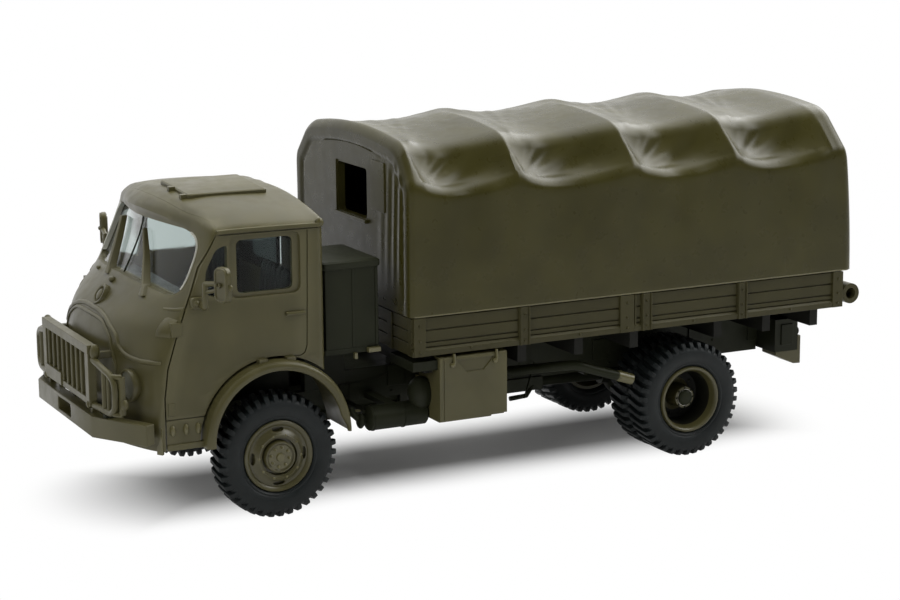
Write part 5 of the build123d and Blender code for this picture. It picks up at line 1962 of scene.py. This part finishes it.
def wall_push(y, z, inside):
    """How far the front wall's surface stands back: its rim's groove and the folds beside the window."""
    push = -0.16 * bump(inside, 1.25, 0.2) * smooth(17, 19, z) * (1.0 if y < 5 or z > 31 else 0.5)
    push -= 0.1 * smooth(0.6, 1.6, inside)
    if y > 0:
        fade = smooth(17.5, 24, z) * (1 - smooth(29, 31, z))
        for at, strength, width in WALL_FOLDS:
            push += strength * bump(y, at + 0.06 * (z - 24), width) * fade
    return push


def cover_skin():
    """The cover's outer skin: front wall, rounded rim, bows and bays, rounded rear corners and rear wall."""
    rings = []
    length = COVER_FRONT - COVER_REAR
    rim = (0.02, 0.08, 0.18, 0.32, 0.5)
    rear = tuple(REAR_CORNER_R * (1 - math.cos(math.radians(a))) for a in (0, 18, 36, 54, 72, 90))
    body = steps(COVER_FRONT - 0.5, COVER_REAR + rear[-1], 230)
    xs = [COVER_FRONT - d for d in rim[:-1]] + body + [COVER_REAR + d for d in reversed(rear[:-1])]
    for x in xs:
        ahead = COVER_FRONT - x
        behind = x - COVER_REAR
        inset = 0.0
        if ahead < FRONT_RIM_R:
            inset = FRONT_RIM_R - math.sqrt(max(0.0, FRONT_RIM_R ** 2 - (FRONT_RIM_R - ahead) ** 2))
        if behind < REAR_CORNER_R:
            inset = REAR_CORNER_R - math.sqrt(max(0.0, REAR_CORNER_R ** 2 - (REAR_CORNER_R - behind) ** 2))
        rings.append(cover_ring(x, inset, ahead / length))

    def wall(ring, sign):
        """Rings from a wall's edge to its upright middle line."""
        walls = []
        edge = [Vector((y, z)) for _, y, z in ring[::2]]
        for t in (*steps(0, 0.3, 22)[1:], *steps(0.3, 1.0, 26)[1:]):
            row = []
            for _, y, z in ring:
                spine = Vector((0, min(z, 28.2)))
                place = Vector((y, z)) + (spine - Vector((y, z))) * t
                if sign > 0:
                    inside = min((corner - place).length for corner in edge) if t < 0.3 else 3.0
                    shift = wall_push(place.x, place.y, inside)
                    row.append((COVER_FRONT + shift, place.x, place.y))
                else:
                    wave = 0.05 * math.sin(place.x * 0.9) * smooth(18, 26, place.y)
                    row.append((COVER_REAR + rear_lean(place.y) + wave, place.x, place.y))
            walls.append(row)
        return walls

    front = wall(rings[0], 1)
    back = wall(rings[-1], -1)
    return Moulding().loft([*reversed(front), *rings, *back], closed=False, caps=False)


WINDOW_Y = (-2.75, 3.75)
WINDOW_Z = (24.3, 28.95)


def build_cover():
    """The hollow moulded cover, its window, the rolled-up flap beside it and the sill under it."""
    olive = get_finish("cover")
    skin = cover_skin().raw("cargo_cover_moulding")
    thicken(skin, 0.7)
    y0, y1 = WINDOW_Y
    z0, z1 = WINDOW_Z
    opening = rounded(((y0, z0), (y1, z0), (y1, z1), (y0, z1)), 0.45)
    carve(skin, Moulding().prism(opening, COVER_FRONT - 2, COVER_FRONT + 1, "x"))
    finish(skin, olive, slot="cover", replaces=["cargo_cover"], edge=0)
    trim = Moulding()
    wall = COVER_FRONT - 0.1
    patch = rounded(((4.75, 25.4), (7.75, 25.4), (7.75, 30.0), (4.75, 30.0)), 0.2, 4)
    trim.prism(patch, wall - 0.2, wall + 0.13, "x")
    trim.block(wall - 0.3, wall + 0.3, y0 - 0.4, y1 + 0.1, z0 - 0.42, z0 - 0.05)
    trim.block(wall - 0.3, wall + 0.16, y0 - 0.5, y0 - 0.12, z0 - 0.4, z1 + 0.1)
    make("cover_window_trim", trim, olive, slot="cover", edge=0.06)
    # The hem takes the paler olive, a painted highlight along the cover's lower edge
    hem = Moulding()
    for side in (1, -1):
        low, high = sorted((side * (COVER_HALF - 0.28), side * (COVER_HALF + 0.02)))
        hem.block(COVER_REAR + 0.6, COVER_FRONT - 0.4, low, high, COVER_LOW - 0.03, COVER_LOW + 0.1)
    make("cover_hem", hem, get_finish("worn"), slot="cover", edge=0.03)


# Tail


# A bumperette's outline, as (x, z), and a small lamp's, as (radius, x ahead of its place)
BUMPERETTE = (
    (-55.3, 7.95), (-55.3, 7.55), (-57.5, 6.55), (-58.3, 6.5), (-58.3, 9.4), (-57.9, 9.4), (-57.9, 7.95),
)
TAIL_LAMP = ((0.02, -0.32), (0.4, -0.25), (0.5, -0.1), (0.46, 0.3), (0.02, 0.3))


def build_tail():
    """The rear member's inset panels, bumperettes, tow hitch, tube and small round lamps."""
    # The tail's dark parts are in the chassis olive, painted shade
    dark = get_finish("chassis")
    dress("tow_hitch", dark, 0.1)
    dress("rear_tube", get_finish("bed"), 0.1)
    shells = Moulding().prism(BUMPERETTE, 5.6, 8.02, "y").mirror()
    make("rear_bumperette_shells", shells, get_finish("body"), replaces=["rear_bumperettes"], edge=0.08)
    panel = Moulding()
    panel.block(-57.3, -55.9, 7.9, 8.15, 8.6, 10.7)
    panel.block(-58.05, -57.85, 5.9, 7.7, 8.6, 10.7)
    panel.block(-58.1, -57.85, 2.6, 4.9, 8.3, 9.9)
    make("rear_member_panels", panel.mirror(), dark, slot="chassis", edge=0.06)
    lamps = Moulding()
    for y in (5.9, 7.1):
        lamps.lathe(TAIL_LAMP, (-58.2, y, 9.7), 24, "x")
    make("tail_lamps", lamps.mirror(), dark, slot="chassis", edge=0.04)


# Studio

CAMERA_AIM = (-0.02302, 0.0, 0.01502)
CAMERA_AZIMUTH = math.radians(63.54)
CAMERA_ELEVATION = math.radians(11.69)
CAMERA_ROLL = math.radians(-0.46)
CAMERA_DISTANCE = 0.2147


def build_camera(studio):
    """The camera where the photographer's stood."""
    camera = bpy.data.objects.new("camera", bpy.data.cameras.new("camera"))
    bpy.context.scene.collection.objects.link(camera)
    level = math.cos(CAMERA_ELEVATION)
    ahead, aside = math.cos(CAMERA_AZIMUTH) * level, math.sin(CAMERA_AZIMUTH) * level
    back = Vector((ahead, aside, math.sin(CAMERA_ELEVATION)))
    aim = Vector(CAMERA_AIM) + Vector((FRONT_AXLE[0], 0, 0))
    camera.location = aim + back * CAMERA_DISTANCE
    camera.rotation_mode = "QUATERNION"
    camera.rotation_quaternion = back.to_track_quat("Z", "Y") @ Quaternion((0, 0, 1), CAMERA_ROLL)
    camera.data.lens = studio.focal_length
    camera.data.clip_start = 0.01
    bpy.context.scene.camera = camera


# Lamps, as (name, setting, place, width, depth)
LAMPS = (
    ("overhead_softbox", "key_power", (-0.1, -0.01, 0.25), 0.36, 0.3),
    ("front_softbox", "fill_power", (0.26, 0.16, 0.16), 0.16, 0.16),
)
LAMPS_FACE = (-0.01, 0, 0.012)


def build_lamps(studio):
    """Soft lamps that face the truck's middle."""
    for name, setting, place, width, depth in LAMPS:
        lamp = bpy.data.lights.new(name, "AREA")
        lamp.shape = "RECTANGLE"
        lamp.size, lamp.size_y = width, depth
        lamp.energy = getattr(studio, setting)
        holder = bpy.data.objects.new(name, lamp)
        bpy.context.scene.collection.objects.link(holder)
        holder.visible_glossy = False
        holder.location = place
        holder.rotation_mode = "QUATERNION"
        holder.rotation_quaternion = (Vector(place) - Vector(LAMPS_FACE)).to_track_quat("Z", "Y")


def white_share(wires, behind):
    """How white the surroundings look: fully to the camera and through glass, and mirrored from behind."""
    path = wires.nodes.new("ShaderNodeLightPath").outputs
    clear_view = wires.combine("MAXIMUM", path["Is Camera Ray"], path["Is Transmission Ray"])
    return wires.combine("MAXIMUM", clear_view, wires.combine("MULTIPLY", path["Is Glossy Ray"], behind))


# How much brighter than white the light behind the truck and the light overhead look in its sheen
REAR_SHEEN = 5.0
OVERHEAD_SHEEN = 1.4


def build_world(studio):
    """White surroundings to look at, and a lower level to light with, darker on the photographer's side."""
    world = bpy.data.worlds.new("studio")
    bpy.context.scene.world = world
    world.use_nodes = True
    wires = Wires(world.node_tree)
    ambient = wires.nodes["Background"]
    white = wires.nodes.new("ShaderNodeBackground")
    for background in (ambient, white):
        background.inputs["Color"].default_value = (1, 1, 1, 1)
    x, y, z = wires.parts(wires.nodes.new("ShaderNodeTexCoord").outputs["Generated"])
    level = wires.combine("MULTIPLY", wires.eased(y, 0.6, -0.6, 0.35, 1.0), studio.ambient)
    wires.feed(ambient.inputs["Strength"], level)
    window = wires.combine("MULTIPLY", wires.eased(z, 0.25, 0.5), wires.eased(x, -0.44, -0.64))
    overhead = wires.eased(z, 0.4, 0.85, 0.0, OVERHEAD_SHEEN)
    sheen = wires.combine("ADD", wires.combine("MULTIPLY", window, REAR_SHEEN), overhead)
    glossy = wires.nodes.new("ShaderNodeLightPath").outputs["Is Glossy Ray"]
    brighter = wires.combine("ADD", wires.combine("MULTIPLY", sheen, glossy), 1.0)
    wires.feed(white.inputs["Strength"], brighter)
    behind = wires.combine("MAXIMUM", wires.eased(y, 0.35, -0.25), window)
    wires.show(white_share(wires, behind), ambient, white, "World Output")


FLOOR_SIZE = 3.0
FLOOR_SHADE_FROM, FLOOR_SHADE_TO = 0.0145, 0.024
# How far from the middle line the floor beside the truck turns white
FLOOR_SIDE_FROM, FLOOR_SIDE_TO = 0.002, 0.0125


def build_floor():
    """A pale floor that keeps the truck's soft shadow and turns white away from it."""
    shape = bmesh.new()
    bmesh.ops.create_grid(shape, x_segments=4, y_segments=4, size=FLOOR_SIZE / 2)
    mesh = bpy.data.meshes.new("floor")
    shape.to_mesh(mesh)
    shape.free()
    floor = bpy.data.objects.new("floor", mesh)
    bpy.context.scene.collection.objects.link(floor)
    material = bpy.data.materials.new("studio_floor")
    material.use_nodes = True
    wires = Wires(material.node_tree)
    shader = wires.nodes["Principled BSDF"]
    shader.inputs["Base Color"].default_value = (0.86, 0.86, 0.85, 1)
    shader.inputs["Roughness"].default_value = 0.6
    shader.inputs["Specular IOR Level"].default_value = 0.0
    glow = wires.nodes.new("ShaderNodeEmission")
    glow.inputs["Color"].default_value = (1, 1, 1, 1)
    glow.inputs["Strength"].default_value = 1.0
    place = wires.nodes.new("ShaderNodeTexCoord").outputs["Object"]
    squeeze = wires.nodes.new("ShaderNodeVectorMath")
    squeeze.operation = "MULTIPLY"
    squeeze.inputs[1].default_value = (0.55, 1.0, 1.0)
    wires.feed(squeeze.inputs[0], place)
    distance = wires.nodes.new("ShaderNodeVectorMath")
    distance.operation = "LENGTH"
    wires.feed(distance.inputs[0], squeeze.outputs[0])
    # Away from the truck the floor glows white, a painted light that keeps the cast shadow close to the
    # truck
    far = wires.eased(distance.outputs["Value"], FLOOR_SHADE_FROM, FLOOR_SHADE_TO, 0.04)
    _, y, _ = wires.parts(place)
    beside = wires.eased(wires.combine("ABSOLUTE", y), FLOOR_SIDE_FROM, FLOOR_SIDE_TO)
    white = white_share(wires, wires.eased(y, 0.05, -0.05))
    share = wires.combine("MULTIPLY", wires.combine("MAXIMUM", far, beside), white)
    wires.show(share, shader, glow, "Material Output")
    mesh.materials.append(material)


def build_stage():
    """Camera, lamps, surroundings and floor."""
    studio = bpy.context.scene.truck_studio
    build_camera(studio)
    build_lamps(studio)
    build_world(studio)
    build_floor()
    bpy.context.scene.view_settings.view_transform = "Standard"


# Operators


class TRUCK_OT_cab(bpy.types.Operator):
    """Build the cab's shell and front mask, with their seam, beads and side details"""

    bl_idname = "truck_model.cab"
    bl_label = "Cab"
    bl_options = {"REGISTER", "UNDO"}

    def execute(self, context):
        build_cab()
        build_roof_hatch()
        return {"FINISHED"}


class TRUCK_OT_glazing(bpy.types.Operator):
    """Build the windscreen, the side windows and the cab's interior"""

    bl_idname = "truck_model.glazing"
    bl_label = "Glazing and Interior"
    bl_options = {"REGISTER", "UNDO"}

    def execute(self, context):
        build_glazing()
        build_interior()
        return {"FINISHED"}


class TRUCK_OT_nose(bpy.types.Operator):
    """Build the grille, plain disc, lamps and wipers"""

    bl_idname = "truck_model.nose"
    bl_label = "Nose Fittings"
    bl_options = {"REGISTER", "UNDO"}

    def execute(self, context):
        build_grille()
        build_badge()
        build_headlamps()
        build_marker_lamps()
        build_wipers()
        return {"FINISHED"}


class TRUCK_OT_mirrors(bpy.types.Operator):
    """Build the rear-view mirrors"""

    bl_idname = "truck_model.mirrors"
    bl_label = "Mirrors"
    bl_options = {"REGISTER", "UNDO"}

    def execute(self, context):
        build_mirrors()
        return {"FINISHED"}


class TRUCK_OT_guards(bpy.types.Operator):
    """Build the brush guard, lamp guards and bumper"""

    bl_idname = "truck_model.guards"
    bl_label = "Guards and Bumper"
    bl_options = {"REGISTER", "UNDO"}

    def execute(self, context):
        build_brush_guard()
        build_lamp_guards()
        build_bumper()
        return {"FINISHED"}


class TRUCK_OT_fenders(bpy.types.Operator):
    """Build the front fenders"""

    bl_idname = "truck_model.fenders"
    bl_label = "Fenders"
    bl_options = {"REGISTER", "UNDO"}

    def execute(self, context):
        build_fenders()
        return {"FINISHED"}


class TRUCK_OT_wheels(bpy.types.Operator):
    """Build the tyres, rims and nuts, and finish the steel pins"""

    bl_idname = "truck_model.wheels"
    bl_label = "Wheels"
    bl_options = {"REGISTER", "UNDO"}

    def execute(self, context):
        build_wheels()
        return {"FINISHED"}


class TRUCK_OT_frame(bpy.types.Operator):
    """Finish the frame and running gear"""

    bl_idname = "truck_model.frame"
    bl_label = "Frame and Running Gear"
    bl_options = {"REGISTER", "UNDO"}

    def execute(self, context):
        build_frame()
        build_springs()
        return {"FINISHED"}


class TRUCK_OT_side_gear(bpy.types.Operator):
    """Build the locker, tanks, exhaust and stowage box"""

    bl_idname = "truck_model.side_gear"
    bl_label = "Lockers and Tanks"
    bl_options = {"REGISTER", "UNDO"}

    def execute(self, context):
        build_air_tank()
        build_locker()
        build_right_drums()
        build_exhaust()
        build_brackets()
        build_stowage_box()
        return {"FINISHED"}


class TRUCK_OT_bed(bpy.types.Operator):
    """Build the cargo bed"""

    bl_idname = "truck_model.bed"
    bl_label = "Cargo Bed"
    bl_options = {"REGISTER", "UNDO"}

    def execute(self, context):
        build_bed()
        return {"FINISHED"}


class TRUCK_OT_cover(bpy.types.Operator):
    """Build the moulded cover"""

    bl_idname = "truck_model.cover"
    bl_label = "Cover"
    bl_options = {"REGISTER", "UNDO"}

    def execute(self, context):
        build_cover()
        return {"FINISHED"}


class TRUCK_OT_tail(bpy.types.Operator):
    """Build the rear end"""

    bl_idname = "truck_model.tail"
    bl_label = "Rear End"
    bl_options = {"REGISTER", "UNDO"}

    def execute(self, context):
        build_tail()
        return {"FINISHED"}


class TRUCK_OT_stage(bpy.types.Operator):
    """Set up the camera, lamps, surroundings and floor"""

    bl_idname = "truck_model.stage"
    bl_label = "Studio"
    bl_options = {"REGISTER", "UNDO"}

    def execute(self, context):
        build_stage()
        return {"FINISHED"}


STEPS = (
    TRUCK_OT_stage, TRUCK_OT_cab, TRUCK_OT_glazing, TRUCK_OT_nose, TRUCK_OT_mirrors, TRUCK_OT_guards,
    TRUCK_OT_fenders, TRUCK_OT_wheels, TRUCK_OT_frame, TRUCK_OT_side_gear, TRUCK_OT_bed, TRUCK_OT_cover,
    TRUCK_OT_tail,
)


class TRUCK_PT_panel(bpy.types.Panel):
    """Settings and steps in the 3D view's sidebar"""

    bl_idname = "TRUCK_PT_panel"
    bl_label = "Covered Truck Model"
    bl_space_type = "VIEW_3D"
    bl_region_type = "UI"
    bl_category = "Truck Model"

    def draw(self, context):
        layout = self.layout
        for setting, group in PROPERTY_GROUPS.items():
            box = layout.box()
            for name in group.__annotations__:
                box.prop(getattr(context.scene, setting), name)
        column = layout.column(align=True)
        for step in STEPS:
            column.operator(step.bl_idname)


def register():
    """Registers the settings, the operators and the panel."""
    for group in PROPERTY_GROUPS.values():
        bpy.utils.register_class(group)
    for setting, group in PROPERTY_GROUPS.items():
        setattr(bpy.types.Scene, setting, bpy.props.PointerProperty(type=group))
    for step in STEPS:
        bpy.utils.register_class(step)
    bpy.utils.register_class(TRUCK_PT_panel)


def unregister():
    """Takes them all away again."""
    bpy.utils.unregister_class(TRUCK_PT_panel)
    for step in reversed(STEPS):
        bpy.utils.unregister_class(step)
    for setting, group in PROPERTY_GROUPS.items():
        delattr(bpy.types.Scene, setting)
        bpy.utils.unregister_class(group)


def run_step(step):
    """Calls a step's operator by its name."""
    group, name = step.bl_idname.split(".")
    if getattr(getattr(bpy.ops, group), name)() != {"FINISHED"}:
        raise RuntimeError(f"{step.bl_label} did not finish")


def main():
    """Builds the truck and its studio."""
    register()
    for step in STEPS:
        run_step(step)


if __name__ == "__main__":
    main()
